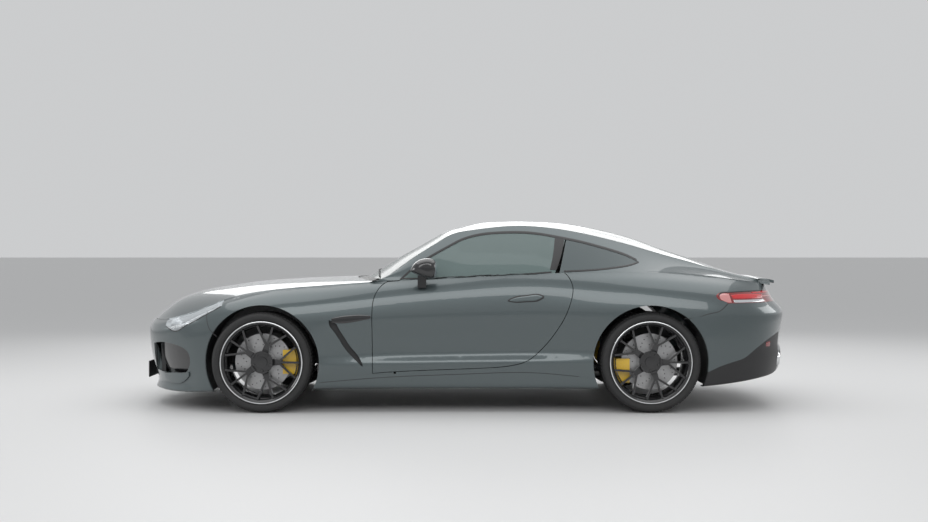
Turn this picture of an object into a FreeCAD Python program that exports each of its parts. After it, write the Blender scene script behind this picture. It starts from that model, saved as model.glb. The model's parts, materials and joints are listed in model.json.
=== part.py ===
# A two-door fastback coupe car, as an assembly of its real pieces.
# Lengths are in millimetres. +X points to the tail, +Y to the car's right-hand side and +Z up.
# The origin is on the ground under the middle of the car's length and width.
import FreeCAD, Part
import Sketcher
import math
import os

doc = FreeCAD.newDocument("Coupe")
sheet = doc.addObject("Spreadsheet::Sheet", "Sizes")


class Formula:
    """A length that knows both its value and the spreadsheet formula behind it."""

    def __init__(self, value, text):
        self.value = value
        self.text = text

    def __float__(self):
        return float(self.value)

    def joined(self, other, sign, value, swapped=False):
        text = other.text if isinstance(other, Formula) else repr(other)
        first, second = (text, self.text) if swapped else (self.text, text)
        return Formula(value, "(%s %s %s)" % (first, sign, second))

    def __add__(self, other):
        return self.joined(other, "+", self.value + float(other))

    def __radd__(self, other):
        return self.joined(other, "+", float(other) + self.value, True)

    def __sub__(self, other):
        return self.joined(other, "-", self.value - float(other))

    def __rsub__(self, other):
        return self.joined(other, "-", float(other) - self.value, True)

    def __mul__(self, other):
        return self.joined(other, "*", self.value * float(other))

    def __rmul__(self, other):
        return self.joined(other, "*", float(other) * self.value, True)

    def __truediv__(self, other):
        return self.joined(other, "/", self.value / float(other))

    def __neg__(self):
        return Formula(-self.value, "(0 - %s)" % self.text)


class Sizes:
    """Each size of the sheet as a formula."""


class Numbers:
    """Each size of the sheet as a plain number."""


s = Sizes()
n = Numbers()
rows = [0]


def sizes(**named):
    """Writes driving dimensions to the sheet."""
    for alias, value in named.items():
        rows[0] += 1
        sheet.set("A%d" % rows[0], alias)
        sheet.set("B%d" % rows[0], str(value))
        sheet.setAlias("B%d" % rows[0], alias)
        setattr(s, alias, Formula(float(value), "Sizes." + alias))
        setattr(n, alias, float(value))


sizes(
    overall_length=4728, overall_width=1984, overall_height=1354,
    wheelbase=2700, front_overhang=960, front_track=1660, rear_track=1656,
    panel_gap=5, seam=0.6, running_gap=0.3,
)
sizes(
    panel_depth=46, door_depth=90, bonnet_depth=22, roof_depth=30, glass_depth=5, lamp_depth=70,
    skirt_depth=60, lid_clearance=8.5, flange=6,
)
sizes(
    arch_radius=400, arch_height=347, liner_wall=4,
    tyre_radius=350, front_tyre_width=290, rear_tyre_width=300, tyre_bead_gap=1,
    rim_flange_radius=284, rim_bead_radius=268,
    disc_radius=196, hat_radius=88,
    hub_radius=78, cap_radius=38, cap_depth=14, spindle_radius=24,
)
half_length = n.overall_length / 2
half_width = n.overall_width / 2
height = n.overall_height
front_axle = -half_length + n.front_overhang
rear_axle = front_axle + n.wheelbase
far = n.overall_length
edge_points = 25
crumb_share = 0.05
nodes = []


def add(name, shape):
    """A sub-part whose shape was worked out from surfaces."""
    feature = doc.addObject("Part::Feature", name)
    feature.Label = name
    feature.Shape = shape
    nodes.append(feature)
    return feature


def vector(x, y, z):
    return FreeCAD.Vector(x, y, z)


# Curves through hand-chosen points

def spline(knots, values):
    """A natural cubic spline through the points, as a function of one number."""
    count = len(knots)
    gaps = [knots[i + 1] - knots[i] for i in range(count - 1)]
    slopes = [(values[i + 1] - values[i]) / gaps[i] for i in range(count - 1)]
    above, right, bends = [0.0] * count, [0.0] * count, [0.0] * count
    for i in range(1, count - 1):
        pivot = 2 * (gaps[i - 1] + gaps[i]) - gaps[i - 1] * above[i - 1]
        above[i] = gaps[i] / pivot
        right[i] = (6 * (slopes[i] - slopes[i - 1]) - gaps[i - 1] * right[i - 1]) / pivot
    for i in range(count - 2, 0, -1):
        bends[i] = right[i] - above[i] * bends[i + 1]

    def at(t):
        i = 0
        while i < count - 2 and t > knots[i + 1]:
            i += 1
        t = min(max(t, knots[0]), knots[-1])
        a, b, step = knots[i + 1] - t, t - knots[i], gaps[i]
        return (
            (bends[i] * a ** 3 + bends[i + 1] * b ** 3) / (6 * step)
            + (values[i] / step - bends[i] * step / 6) * a
            + (values[i + 1] / step - bends[i + 1] * step / 6) * b
        )

    return at


def rising(knots, values):
    """A cubic through the points that never overshoots between them."""
    count = len(knots)
    gaps = [knots[i + 1] - knots[i] for i in range(count - 1)]
    slopes = [(values[i + 1] - values[i]) / gaps[i] for i in range(count - 1)]
    tangents = [slopes[0]] + [0.0] * (count - 2) + [slopes[-1]]
    for i in range(1, count - 1):
        if slopes[i - 1] * slopes[i] > 0:
            w0, w1 = 2 * gaps[i] + gaps[i - 1], gaps[i] + 2 * gaps[i - 1]
            tangents[i] = (w0 + w1) / (w0 / slopes[i - 1] + w1 / slopes[i])

    def at(t):
        i = 0
        while i < count - 2 and t > knots[i + 1]:
            i += 1
        h = gaps[i]
        u = min(max((t - knots[i]) / h, 0.0), 1.0)
        return (
            values[i] * (1 + 2 * u) * (1 - u) ** 2 + tangents[i] * h * u * (1 - u) ** 2
            + values[i + 1] * u * u * (3 - 2 * u) + tangents[i + 1] * h * u * u * (u - 1)
        )

    return at


def ease(low, high, t):
    """0 below low, 1 above high and a smooth step between."""
    u = min(max((t - low) / (high - low), 0.0), 1.0)
    return u * u * (3 - 2 * u)


# The plan outline: the body's widest line, from the middle of the nose round to the middle of the tail

nose_power = 2.5
tail_power = 3.2
side_width_shares = [
    (-0.5499, 0.9919), (-0.4230, 0.9758), (-0.2538, 0.9536), (-0.0846, 0.9435), (0.0846, 0.9415),
    (0.2538, 0.9496), (0.3807, 0.9728), (0.5482, 1.0000), (0.5711, 1.0000),
]
side_width = spline(
    [x * half_length for x, w in side_width_shares], [w * half_width for x, w in side_width_shares]
)
nose_start = side_width_shares[0][0] * half_length
tail_start = side_width_shares[-1][0] * half_length
outline_steps = 160


def corner(angle, power):
    return math.cos(angle) ** (2 / power), math.sin(angle) ** (2 / power)


def build_outline():
    points = []
    for i in range(outline_steps):
        along, across = corner(math.pi / 2 * i / outline_steps, nose_power)
        points.append((nose_start - (half_length + nose_start) * along, side_width(nose_start) * across))
    for i in range(outline_steps):
        x = nose_start + (tail_start - nose_start) * i / outline_steps
        points.append((x, side_width(x)))
    for i in range(outline_steps + 1):
        along, across = corner(math.pi / 2 * (1 - i / outline_steps), tail_power)
        points.append((tail_start + (half_length - tail_start) * along, side_width(tail_start) * across))
    lengths = [0.0]
    for (x0, y0), (x1, y1) in zip(points, points[1:]):
        lengths.append(lengths[-1] + math.hypot(x1 - x0, y1 - y0))
    return points, lengths


outline, lengths = build_outline()
total_arc = lengths[-1]
direction_reach = 0.012


def outline_at(arc):
    """The outline's point at a length along it, mirrored past its two ends."""
    if arc < 0:
        x, y = outline_at(-arc)
        return x, -y
    if arc > total_arc:
        x, y = outline_at(2 * total_arc - arc)
        return x, -y
    low, high = 0, len(lengths) - 1
    while high - low > 1:
        middle = (low + high) // 2
        if lengths[middle] <= arc:
            low = middle
        else:
            high = middle
    share = (arc - lengths[low]) / (lengths[high] - lengths[low])
    return tuple(a + (b - a) * share for a, b in zip(outline[low], outline[high]))


def inward_at(arc):
    reach = total_arc * direction_reach
    x0, y0 = outline_at(arc - reach)
    x1, y1 = outline_at(arc + reach)
    length = math.hypot(x1 - x0, y1 - y0)
    return (y1 - y0) / length, -(x1 - x0) / length


def arc_where(test):
    for i in range(len(outline)):
        if test(outline[i]):
            return lengths[i]
    return total_arc


def arc_of_x(x):
    return arc_where(lambda point: point[0] >= x)


def arc_of_nose_y(y):
    return arc_where(lambda point: point[1] >= y)


def arc_of_tail_y(y):
    return arc_where(lambda point: point[0] > 0 and point[1] <= y)


# Sections of the body's side. Each row: where it stands, the heights of its lowest and highest points as
# shares of the overall height, and how far in from the outline each level stands as shares of the half width.
level_shares = [0.0, 0.02, 0.12, 0.235, 0.325, 0.47, 0.66, 0.815, 0.925, 1.0]
section_shares = [
    ("nose", 0.000, 0.0900, 0.4580, [.065, .050, .064, .054, .039, .019, .004, .000, .009, .034]),
    ("nose", 0.353, 0.0900, 0.4590, [.065, .050, .064, .054, .039, .019, .004, .000, .011, .038]),
    ("nose", 0.620, 0.0930, 0.4670, [.062, .048, .060, .052, .038, .021, .008, .004, .022, .066]),
    ("nose", 0.860, 0.0960, 0.5180, [.055, .040, .044, .038, .028, .018, .007, .007, .048, .125]),
    ("side", -0.740, 0.1030, 0.5740, [.070, .030, .020, .014, .010, .004, .000, .014, .072, .178]),
    ("side", -0.594, 0.1110, 0.6240, [.080, .030, .014, .008, .004, .000, .002, .022, .088, .183]),
    ("side", -0.444, 0.1160, 0.6480, [.080, .030, .014, .008, .008, .005, .002, .020, .080, .172]),
    ("side", -0.275, 0.1180, 0.6690, [.076, .026, .012, .006, .024, .020, .002, .016, .058, .138]),
    ("side", 0.000, 0.1180, 0.6970, [.076, .020, .010, .004, .030, .020, .000, .010, .038, .080]),
    ("side", 0.254, 0.1180, 0.7140, [.076, .020, .010, .005, .028, .018, .000, .011, .040, .083]),
    ("side", 0.410, 0.1190, 0.7190, [.080, .025, .014, .006, .012, .008, .000, .020, .066, .132]),
    ("side", 0.548, 0.1220, 0.7180, [.085, .030, .014, .006, .004, .002, .000, .026, .089, .183]),
    ("side", 0.677, 0.1290, 0.7050, [.085, .030, .016, .008, .004, .000, .002, .034, .108, .217]),
    ("side", 0.804, 0.1480, 0.6830, [.080, .040, .030, .020, .012, .004, .002, .037, .110, .200]),
    ("tail", 0.800, 0.1700, 0.6630, [.076, .045, .030, .020, .020, .010, .002, .055, .110, .150]),
    ("tail", 0.450, 0.1820, 0.6670, [.084, .054, .026, .016, .034, .019, .004, .080, .120, .140]),
    ("tail", 0.000, 0.1840, 0.6680, [.084, .054, .024, .014, .034, .019, .004, .085, .126, .140]),
]
level_steps = 22


def station_arc(kind, share):
    if kind == "nose":
        return arc_of_nose_y(share * half_width)
    if kind == "tail":
        return arc_of_tail_y(share * half_width)
    return arc_of_x(share * half_length)


station_arcs = [station_arc(row[0], row[1]) for row in section_shares]
side_bottom = spline(station_arcs, [row[2] * height for row in section_shares])
side_top = spline(station_arcs, [row[3] * height for row in section_shares])
side_insets = [
    spline(station_arcs, [row[4][j] * half_width for row in section_shares])
    for j in range(len(level_shares))
]
side_rise = rising(list(range(len(level_shares))), level_shares)


def side_point(arc, level, depth=0.0):
    """A point of the left side's skin, or of a face that stands depth inside it."""
    inner = min(abs(arc), 2 * total_arc - abs(arc))
    x, y = outline_at(arc)
    nx, ny = inward_at(arc)
    inset = rising(list(range(len(level_shares))), [f(inner) for f in side_insets])(level)
    low, high = side_bottom(inner), side_top(inner)
    inset += depth
    return vector(x + nx * inset, -(y + ny * inset), low + (high - low) * side_rise(level))


def side_column(arc, depth=0.0):
    top = len(level_shares) - 1
    return [side_point(arc, top * j / (level_steps - 1), depth) for j in range(level_steps)]


def belt_point(arc, depth=0.0):
    return side_point(arc, len(level_shares) - 1, depth)


# Surfaces and solids from grids of points

def thick(outer, inner):
    """A closed solid between two grids of points that have the same rows and columns."""
    skins = []
    for grid in (outer, inner):
        skin = Part.BSplineSurface()
        skin.interpolate(grid)
        skins.append(skin)
    faces = [skin.toShape() for skin in skins]
    borders = []
    for skin in skins:
        u0, u1, v0, v1 = skin.bounds()
        borders.append([skin.uIso(u0), skin.uIso(u1), skin.vIso(v0), skin.vIso(v1)])
    for a, b in zip(*borders):
        faces.append(Part.makeRuledSurface(a.toShape(), b.toShape()))
    sewn = Part.Compound(faces)
    sewn.sewShape(n.seam / 60)
    solid = Part.Solid(sewn.Shells[0])
    if solid.Volume < 0:
        solid.reverse()
    return solid


def side_sheet(first_arc, last_arc, depth, steps, outer_depth=0.0):
    """The body's side as a solid sheet, between two lengths along the plan outline."""
    stops = [first_arc + (last_arc - first_arc) * i / (steps - 1) for i in range(steps)]
    return thick([side_column(a, outer_depth) for a in stops], [side_column(a, depth) for a in stops])


def mirrored(shape):
    return shape.mirror(vector(0, 0, 0), vector(0, 1, 0))


def both(shape):
    return Part.Compound([shape, mirrored(shape)])


# Flat outlines and the prisms that cut panels to them

def flat_face(runs, place):
    """A face bounded by runs: two points are a straight line, more are a smooth curve."""
    edges = []
    for run in runs:
        points = [place(*p) for p in run]
        if len(points) == 2:
            edges.append(Part.makeLine(points[0], points[1]))
        else:
            curve = Part.BSplineCurve()
            curve.interpolate(points)
            edges.append(curve.toShape())
    return Part.Face(Part.Wire(edges))


def closed(*runs):
    """Adds the straight runs that join each run to the next one."""
    joined = []
    for i, run in enumerate(runs):
        joined.append(run)
        following = runs[(i + 1) % len(runs)]
        if math.dist(run[-1], following[0]) > n.seam / 10:
            joined.append([run[-1], following[0]])
    return joined


def side_place(x, z):
    return vector(x, 0, z)


def plan_place(x, y):
    return vector(x, y, 0)


def rear_place(y, z):
    return vector(0, y, z)


def side_shares(shares):
    return [(x * half_length, z * height) for x, z in shares]


def grown(face, distance):
    """The face with its outline moved out by a distance, on edges that a file can hold."""
    edges = []
    for edge in face.makeOffset2D(distance).OuterWire.OrderedEdges:
        if isinstance(edge.Curve, (Part.Line, Part.Circle)):
            edges.append(edge)
            continue
        curve = Part.BSplineCurve()
        curve.interpolate(edge.discretize(edge_points))
        edges.append(curve.toShape())
    return Part.Face(Part.Wire(Part.sortEdges(edges)[0]))


def side_prism(runs, grow=0.0, near=-far / 2, reach=far):
    """A prism across the car, all the way unless near and reach say otherwise."""
    face = flat_face(runs, side_place)
    if grow:
        face = grown(face, grow)
    face.translate(vector(0, near, 0))
    return face.extrude(vector(0, reach, 0))


def plan_prism(runs, low=0.0, high=far / 2):
    face = flat_face(runs, plan_place)
    face.translate(vector(0, 0, low))
    return face.extrude(vector(0, 0, high - low))


def box(x0, x1, y0, y1, z0, z1):
    return Part.makeBox(x1 - x0, y1 - y0, z1 - z0, vector(x0, y0, z0))


def across(x, z, radius, y0, y1):
    return Part.makeCylinder(radius, y1 - y0, vector(x, y0, z), vector(0, 1, 0))


def carve(shape, *tools):
    """Cuts one tool after another."""
    for tool in tools:
        for solid in tool.Solids:
            if solid.BoundBox.intersect(shape.BoundBox):
                shape = shape.cut(solid)
    return shape


def whole(shape, name):
    """The main solids of a boolean's result, without crumbs."""
    largest = max([solid.Volume for solid in shape.Solids] + [0.0])
    solids = [solid for solid in shape.Solids if solid.Volume > crumb_share * largest]
    if not solids:
        raise ValueError(name + " is empty")
    return solids[0] if len(solids) == 1 else Part.Compound(solids)


def above_line(points, top):
    """The region over a line of points, as runs."""
    return closed(points, [(points[-1][0], top), (points[0][0], top)])


# The outlines in the side view, as shares of the half length and of the height
door_front_shares = [
    (-0.2263, 0.6691), (-0.2483, 0.6396), (-0.2627, 0.5938), (-0.2682, 0.5428), (-0.2695, 0.4764),
]
door_bottom_shares = [
    (-0.2678, 0.2038), (-0.1887, 0.2134), (0.0453, 0.2290), (0.1332, 0.2415), (0.1624, 0.2518),
    (0.1916, 0.2725), (0.2208, 0.3131), (0.2504, 0.3693), (0.2678, 0.4106), (0.2944, 0.4867),
    (0.3088, 0.5480), (0.3177, 0.6041), (0.3190, 0.6455), (0.3126, 0.6802), (0.3033, 0.7053),
    (0.2919, 0.7201),
]
window_top_shares = [
    (-0.1912, 0.6795), (-0.1624, 0.7253), (-0.1332, 0.7666), (-0.1036, 0.7991), (-0.0736, 0.8294),
    (-0.0436, 0.8582), (-0.0135, 0.8863), (0.0165, 0.9055), (0.0470, 0.9180), (0.1074, 0.9284),
    (0.1531, 0.9306), (0.1988, 0.9276), (0.2593, 0.9129), (0.3046, 0.8981), (0.3498, 0.8818),
    (0.4095, 0.8545), (0.4687, 0.8235), (0.4992, 0.8028), (0.5212, 0.7821),
]
window_base_shares = [
    (0.5262, 0.7718), (0.4636, 0.7459), (0.4027, 0.7334), (0.3215, 0.7253),
]
window_split_shares = [
    (0.3105, 0.9084), (0.2682, 0.7090),
]
lamp_top_shares = [
    (-0.9002, 0.4614), (-0.8914, 0.4870), (-0.8738, 0.5176), (-0.8446, 0.5483), (-0.8094, 0.5738),
    (-0.7743, 0.5943), (-0.7392, 0.5968), (-0.7187, 0.5738),
]
lamp_bottom_shares = [
    (-0.7158, 0.5457), (-0.7450, 0.5176), (-0.7743, 0.4895), (-0.8036, 0.4614), (-0.8329, 0.4358),
    (-0.8563, 0.4128), (-0.8768, 0.4180), (-0.9002, 0.4358),
]
bumper_seam_shares = [
    (-0.7597, 0.5176), (-0.7567, 0.4767), (-0.7480, 0.4307), (-0.7245, 0.3898),
]
vent_shares = [
    (-0.3952, 0.4767), (-0.3937, 0.4461), (-0.3791, 0.4103), (-0.3645, 0.3694), (-0.3352, 0.2978),
    (-0.3206, 0.2723), (-0.2971, 0.2391), (-0.3059, 0.2774), (-0.3352, 0.3438), (-0.3498, 0.3847),
    (-0.3645, 0.4256), (-0.3732, 0.4563),
]
fender_foot_shares = [
    (-0.4272, 0.1935), (-0.2707, 0.1979),
]
skirt_top_shares = [
    (-0.4640, 0.1496), (-0.4289, 0.1547), (-0.3937, 0.1598), (-0.3059, 0.1726), (-0.1888, 0.1854),
    (-0.0717, 0.1931), (0.0454, 0.2007), (0.1332, 0.2058), (0.2210, 0.2033), (0.2796, 0.1956),
    (0.3381, 0.1854), (0.4552, 0.1828),
]
rear_seam_shares = [
    (0.6426, 0.4844), (0.6836, 0.4921), (0.7187, 0.5100), (0.7480, 0.5227), (0.7597, 0.5381),
    (0.7743, 0.5593),
]
tail_lamp_front_shares = [
    (0.7743, 0.5611), (0.7597, 0.5738), (0.7450, 0.5841), (0.7406, 0.5994), (0.7480, 0.6122),
    (0.7626, 0.6173),
]
tail_lamp_top_shares = [
    (0.7626, 0.6173), (0.8065, 0.6198), (0.8885, 0.6224), (0.9821, 0.6224),
]
diffuser_top_shares = [
    (0.6894, 0.1905), (0.7216, 0.2161), (0.7480, 0.2365), (0.8065, 0.2672), (0.8241, 0.2774),
    (0.8504, 0.3081), (0.8709, 0.3336), (0.8943, 0.3592), (0.9529, 0.4052),
]
intake_shares = [
    (-0.9499, 0.3387), (-0.9177, 0.3490), (-0.8563, 0.3387), (-0.8211, 0.3081), (-0.8182, 0.2212),
    (-0.8387, 0.1854), (-0.9148, 0.1854), (-0.9499, 0.1905),
]

door_front = side_shares(door_front_shares)
door_bottom = side_shares(door_bottom_shares)
window_top = side_shares(window_top_shares)
window_base = side_shares(window_base_shares)
window_split = side_shares(window_split_shares)
door_cap = [(door_bottom[-1][0], height), (door_front[0][0], height)]
door_runs = closed(door_front, door_bottom, door_cap)
lamp_runs = closed(side_shares(lamp_top_shares), side_shares(lamp_bottom_shares))
skirt_top = side_shares(skirt_top_shares)
rear_seam = side_shares(rear_seam_shares)
tail_lamp_front = side_shares(tail_lamp_front_shares)
tail_lamp_top = side_shares(tail_lamp_top_shares)

# The roof's edge line and the middle lines of the roof and of the bonnet, as shares
roof_edge_shares = [
    (-0.2369, 0.8065, 0.6839), (-0.1929, 0.7762, 0.7408), (-0.1337, 0.7359, 0.8139),
    (-0.0740, 0.6855, 0.8796), (-0.0440, 0.6552, 0.9114), (0.0169, 0.6250, 0.9380),
    (0.0774, 0.6149, 0.9513), (0.1536, 0.6048, 0.9623), (0.2297, 0.6048, 0.9572),
    (0.3215, 0.5948, 0.9357), (0.4133, 0.5847, 0.9010), (0.5076, 0.5746, 0.8589),
    (0.5990, 0.5645, 0.8131), (0.6916, 0.5645, 0.7703), (0.7783, 0.5847, 0.7253),
    (0.8397, 0.6048, 0.6979), (0.9306, 0.6452, 0.6706),
]
roof_middle_shares = [
    (-0.3046, 0.6883), (-0.2720, 0.7223), (-0.2073, 0.7954), (-0.1430, 0.8575), (-0.0787, 0.9217),
    (-0.0465, 0.9498), (-0.0144, 0.9638), (0.0178, 0.9778), (0.0499, 0.9897), (0.1142, 0.9978),
    (0.1637, 1.0000), (0.2115, 0.9985), (0.2771, 0.9934), (0.3752, 0.9712), (0.4404, 0.9483),
    (0.5055, 0.9202), (0.5711, 0.8833), (0.6358, 0.8405), (0.7009, 0.8035), (0.7673, 0.7614),
    (0.8325, 0.7216), (0.8976, 0.6942), (0.9370, 0.6846),
]
roof_lead_shares = [
    (-0.2369, 0.1613), (-0.0440, 0.0605), (0.1536, 0.0101), (0.3807, 0.0020), (0.9306, -0.0151),
]
bonnet_middle_shares = [
    (-0.9877, 0.4572), (-0.9602, 0.4985), (-0.9433, 0.5214), (-0.9264, 0.5451), (-0.8799, 0.5871),
    (-0.8206, 0.6167), (-0.7538, 0.6359), (-0.6853, 0.6536), (-0.5567, 0.6728), (-0.4213, 0.6839),
    (-0.3384, 0.6876),
]
roof_edge_width = spline(
    [x * half_length for x, w, z in roof_edge_shares], [w * half_width for x, w, z in roof_edge_shares]
)
roof_edge_height = spline(
    [x * half_length for x, w, z in roof_edge_shares], [z * height for x, w, z in roof_edge_shares]
)
roof_middle = spline(
    [x * half_length for x, z in roof_middle_shares], [z * height for x, z in roof_middle_shares]
)
roof_lead = spline(
    [x * half_length for x, lead in roof_lead_shares], [lead * half_width for x, lead in roof_lead_shares]
)
roof_start = roof_edge_shares[0][0] * half_length
roof_end = roof_edge_shares[-1][0] * half_length
crown_power = 2.2


def roof_point(x, across_share, lift=0.0):
    """A point of the top skin: x is where its row meets the roof's edge."""
    crown = 1 - abs(across_share) ** crown_power
    lead = roof_lead(x) * (1 - across_share * across_share)
    low = roof_edge_height(x)
    high = roof_middle(x - roof_lead(x))
    return vector(x - lead, across_share * roof_edge_width(x), low + (high - low) * crown + lift)


def roof_sheet(x0, x1, top, depth, cover, steps=34, columns=25):
    """The top skin as a solid sheet, from top above it to depth below it."""
    def grid(lift):
        return [
            [
                roof_point(x0 + (x1 - x0) * i / (steps - 1), cover * (-1 + 2 * j / (columns - 1)), lift)
                for j in range(columns)
            ]
            for i in range(steps)
        ]
    return thick(grid(top), grid(-depth))


# The left flank over the belt line: pillars, roof rail and the side windows' surface
flank_swell = spline(
    [x * half_length for x in (-0.24, 0.1, 0.34, 0.5, 0.62, 0.93)],
    [w * half_width for w in (0.012, 0.018, 0.014, -0.006, -0.022, -0.012)]
)
flank_start = -668 / 2364 * half_length
flank_end = 2150 / 2364 * half_length


def flank_point(share, rise, depth=0.0):
    x_belt = flank_start + (flank_end - flank_start) * share
    belt = belt_point(arc_of_belt_x(x_belt))
    x_roof = roof_start + (flank_end - roof_start) * share
    roof = vector(x_roof, -roof_edge_width(x_roof), roof_edge_height(x_roof))
    point = belt + (roof - belt) * rise
    point.y += -flank_swell(x_belt) * 4 * rise * (1 - rise) + depth
    return point


belt_table = [(belt_point(total_arc * i / 400).x, total_arc * i / 400) for i in range(401)]


def arc_of_belt_x(x):
    """The length along the outline at which the belt line reaches x."""
    for (x0, a0), (x1, a1) in zip(belt_table, belt_table[1:]):
        if x0 <= x <= x1 and x1 > x0:
            return a0 + (a1 - a0) * (x - x0) / (x1 - x0)
    raise ValueError("the belt line never reaches %g" % x)


def flank_sheet(share0, share1, depth, steps=40, rises=9, start=0.0):
    """The flank as a sheet; start leaves out a little of it over the belt line."""
    def grid(d):
        return [
            [
                flank_point(
                    share0 + (share1 - share0) * i / (steps - 1), start + (1 - start) * j / (rises - 1), d
                )
                for j in range(rises)
            ]
            for i in range(steps)
        ]
    return thick(grid(0.0), grid(depth))


def belt_bar(near, beyond, half_depth, steps=60):
    """A bar inside the skins along the belt line, which joins the side and the flank."""
    def grid(depth):
        rows = []
        for i in range(steps):
            point = belt_point(
                arc_of_belt_x(flank_start + (flank_end - flank_start) * i / (steps - 1)), depth
            )
            rows.append([point + vector(0, 0, half_depth * k) for k in (-1, -0.5, 0, 0.5, 1)])
        return rows
    return thick(grid(near), grid(beyond))


# The bonnet's skin, from the nose loop to the cowl
bonnet_middle = spline(
    [x * half_length for x, z in bonnet_middle_shares], [z * height for x, z in bonnet_middle_shares]
)
bonnet_first_arc = arc_of_nose_y(0.64 * half_width)
bonnet_last_arc = arc_of_belt_x(-0.262 * half_length)
bonnet_front_x = belt_point(0.0).x
bonnet_rear_x = bonnet_middle_shares[-1][0] * half_length
bonnet_spread = 1.35


def bonnet_point(t, across_share, margin=0.0, lift=0.0):
    share = t ** bonnet_spread
    edge = belt_point(bonnet_first_arc + (bonnet_last_arc - bonnet_first_arc) * share)
    corner_point = belt_point(bonnet_first_arc)
    front = belt_point(bonnet_first_arc * abs(across_share))
    bow = (front.x - corner_point.x) / (bonnet_front_x - corner_point.x)
    middle_x = bonnet_front_x + (bonnet_rear_x - bonnet_front_x) * share
    x = edge.x + (middle_x - edge.x) * bow
    crown = 1 - abs(across_share) ** crown_power
    z = edge.z + (bonnet_middle(middle_x) - edge.z) * crown
    start_z = corner_point.z + (belt_point(0.0).z - corner_point.z) * crown
    z += (front.z - start_z) * (1 - t) ** 6
    width = -edge.y - margin
    x += margin * (1 - ease(0.0, 0.12, t)) * bow
    return vector(x, across_share * width, z + lift)


def bonnet_sheet(top, depth, margin, steps=30, columns=25):
    def grid(lift):
        return [
            [
                bonnet_point(i / (steps - 1), -1 + 2 * j / (columns - 1), margin, lift)
                for j in range(columns)
            ]
            for i in range(steps)
        ]
    return thick(grid(top), grid(-depth))


# Sizes of the panels' cuts, of the frame and of what is inside
sizes(
    grille_half_width=430, grille_low=190, grille_high=545, grille_corner=40, grille_set_back=20,
    slat_width=9, slats=17, mesh_wall=8, mesh_margin=20,
    lamp_wall=30, tail_lamp_inner=436, tail_lamp_low=765, tail_lamp_depth=42,
    windscreen_depth=6, header=-112, roof_rear=863, glass_front=935, glass_rear=1745,
    tip_radius=52, tip_wall=3, tip_y=600, tip_height=352, tip_front=2080, tip_rear=2262, tip_clearance=6,
)
side_cover = 0.978
lid_cover = 0.972
cut_cover = 0.985

sizes(bar_near=14, bar_beyond=30, bar_half=8)

# Cutters
front_arch = across(front_axle, n.arch_height, n.arch_radius, -far, far)
rear_arch = across(rear_axle, n.arch_height, n.arch_radius, -far, far)
bonnet_space = bonnet_sheet(n.bonnet_depth + n.lid_clearance, n.bonnet_depth + n.lid_clearance, n.flange)
door_space = side_prism(door_runs, grow=n.panel_gap)
bumper_seam = side_shares(bumper_seam_shares)
fender_foot = side_shares(fender_foot_shares)
front_end = closed(
    [(bumper_seam[0][0], height), bumper_seam[0]], bumper_seam,
    [bumper_seam[-1], (bumper_seam[-1][0], -height)],
    [(-far, -height), (-far, height)],
)
front_end_space = side_prism(front_end, grow=n.seam)
lamp_space = side_prism(lamp_runs)
fender_region = closed(
    [(bumper_seam[-1][0] - far, height), (bumper_seam[-1][0] - far, fender_foot[0][1])],
    [(bumper_seam[-1][0] - far, fender_foot[0][1]), fender_foot[0]],
    fender_foot,
    [fender_foot[-1], (door_bottom[0][0] + n.arch_radius, fender_foot[-1][1])],
    [(door_bottom[0][0] + n.arch_radius, fender_foot[-1][1]), (door_bottom[0][0] + n.arch_radius, height)],
)
skirt_region = above_line(skirt_top, -height)
diffuser_top = side_shares(diffuser_top_shares)
bumper_region = closed(
    rear_seam, [rear_seam[-1], (far / 2, n.tail_lamp_low)],
    [(far / 2, -height), (rear_seam[0][0], -height)],
)
diffuser_region = above_line(diffuser_top, -height)
lamp_region = closed(
    tail_lamp_front, tail_lamp_top,
    [tail_lamp_top[-1], (far / 2, n.tail_lamp_low + n.seam)], [
        (far / 2, n.tail_lamp_low + n.seam), tail_lamp_front[0]
    ],
)

# Front bumper, with its grille and corner intakes
nose_arc = arc_of_x(-0.7 * half_length)


def rounded(y0, y1, z0, z1, radius):
    """A rectangle with round corners, as a face square to X."""
    plain = Part.Face(
        Part.makePolygon([rear_place(*p) for p in ((y0, z0), (y1, z0), (y1, z1), (y0, z1), (y0, z0))])
    )
    solid = plain.extrude(vector(far, 0, 0))
    edges = [e for e in solid.Edges if abs(e.tangentAt(e.FirstParameter).x) > 0.5]
    return solid.makeFillet(radius, edges)


def grille_prism(margin):
    prism = rounded(
        -n.grille_half_width - margin, n.grille_half_width + margin,
        n.grille_low - margin, n.grille_high + margin, n.grille_corner + margin,
    )
    prism.translate(vector(-far - half_length * 0.8, 0, 0))
    return prism


def intake_prism(margin):
    return side_prism(closed(side_shares(intake_shares)), margin, -half_width * 1.1, half_width * 0.65)


nose = side_sheet(-nose_arc, nose_arc, n.panel_depth, 50)
front_bumper = nose.common(side_prism(front_end))
front_bumper = carve(
    front_bumper, lamp_space, front_arch, bonnet_space, grille_prism(0.0), both(intake_prism(0.0))
)
add("front_bumper", whole(front_bumper, "front_bumper"))

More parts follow.
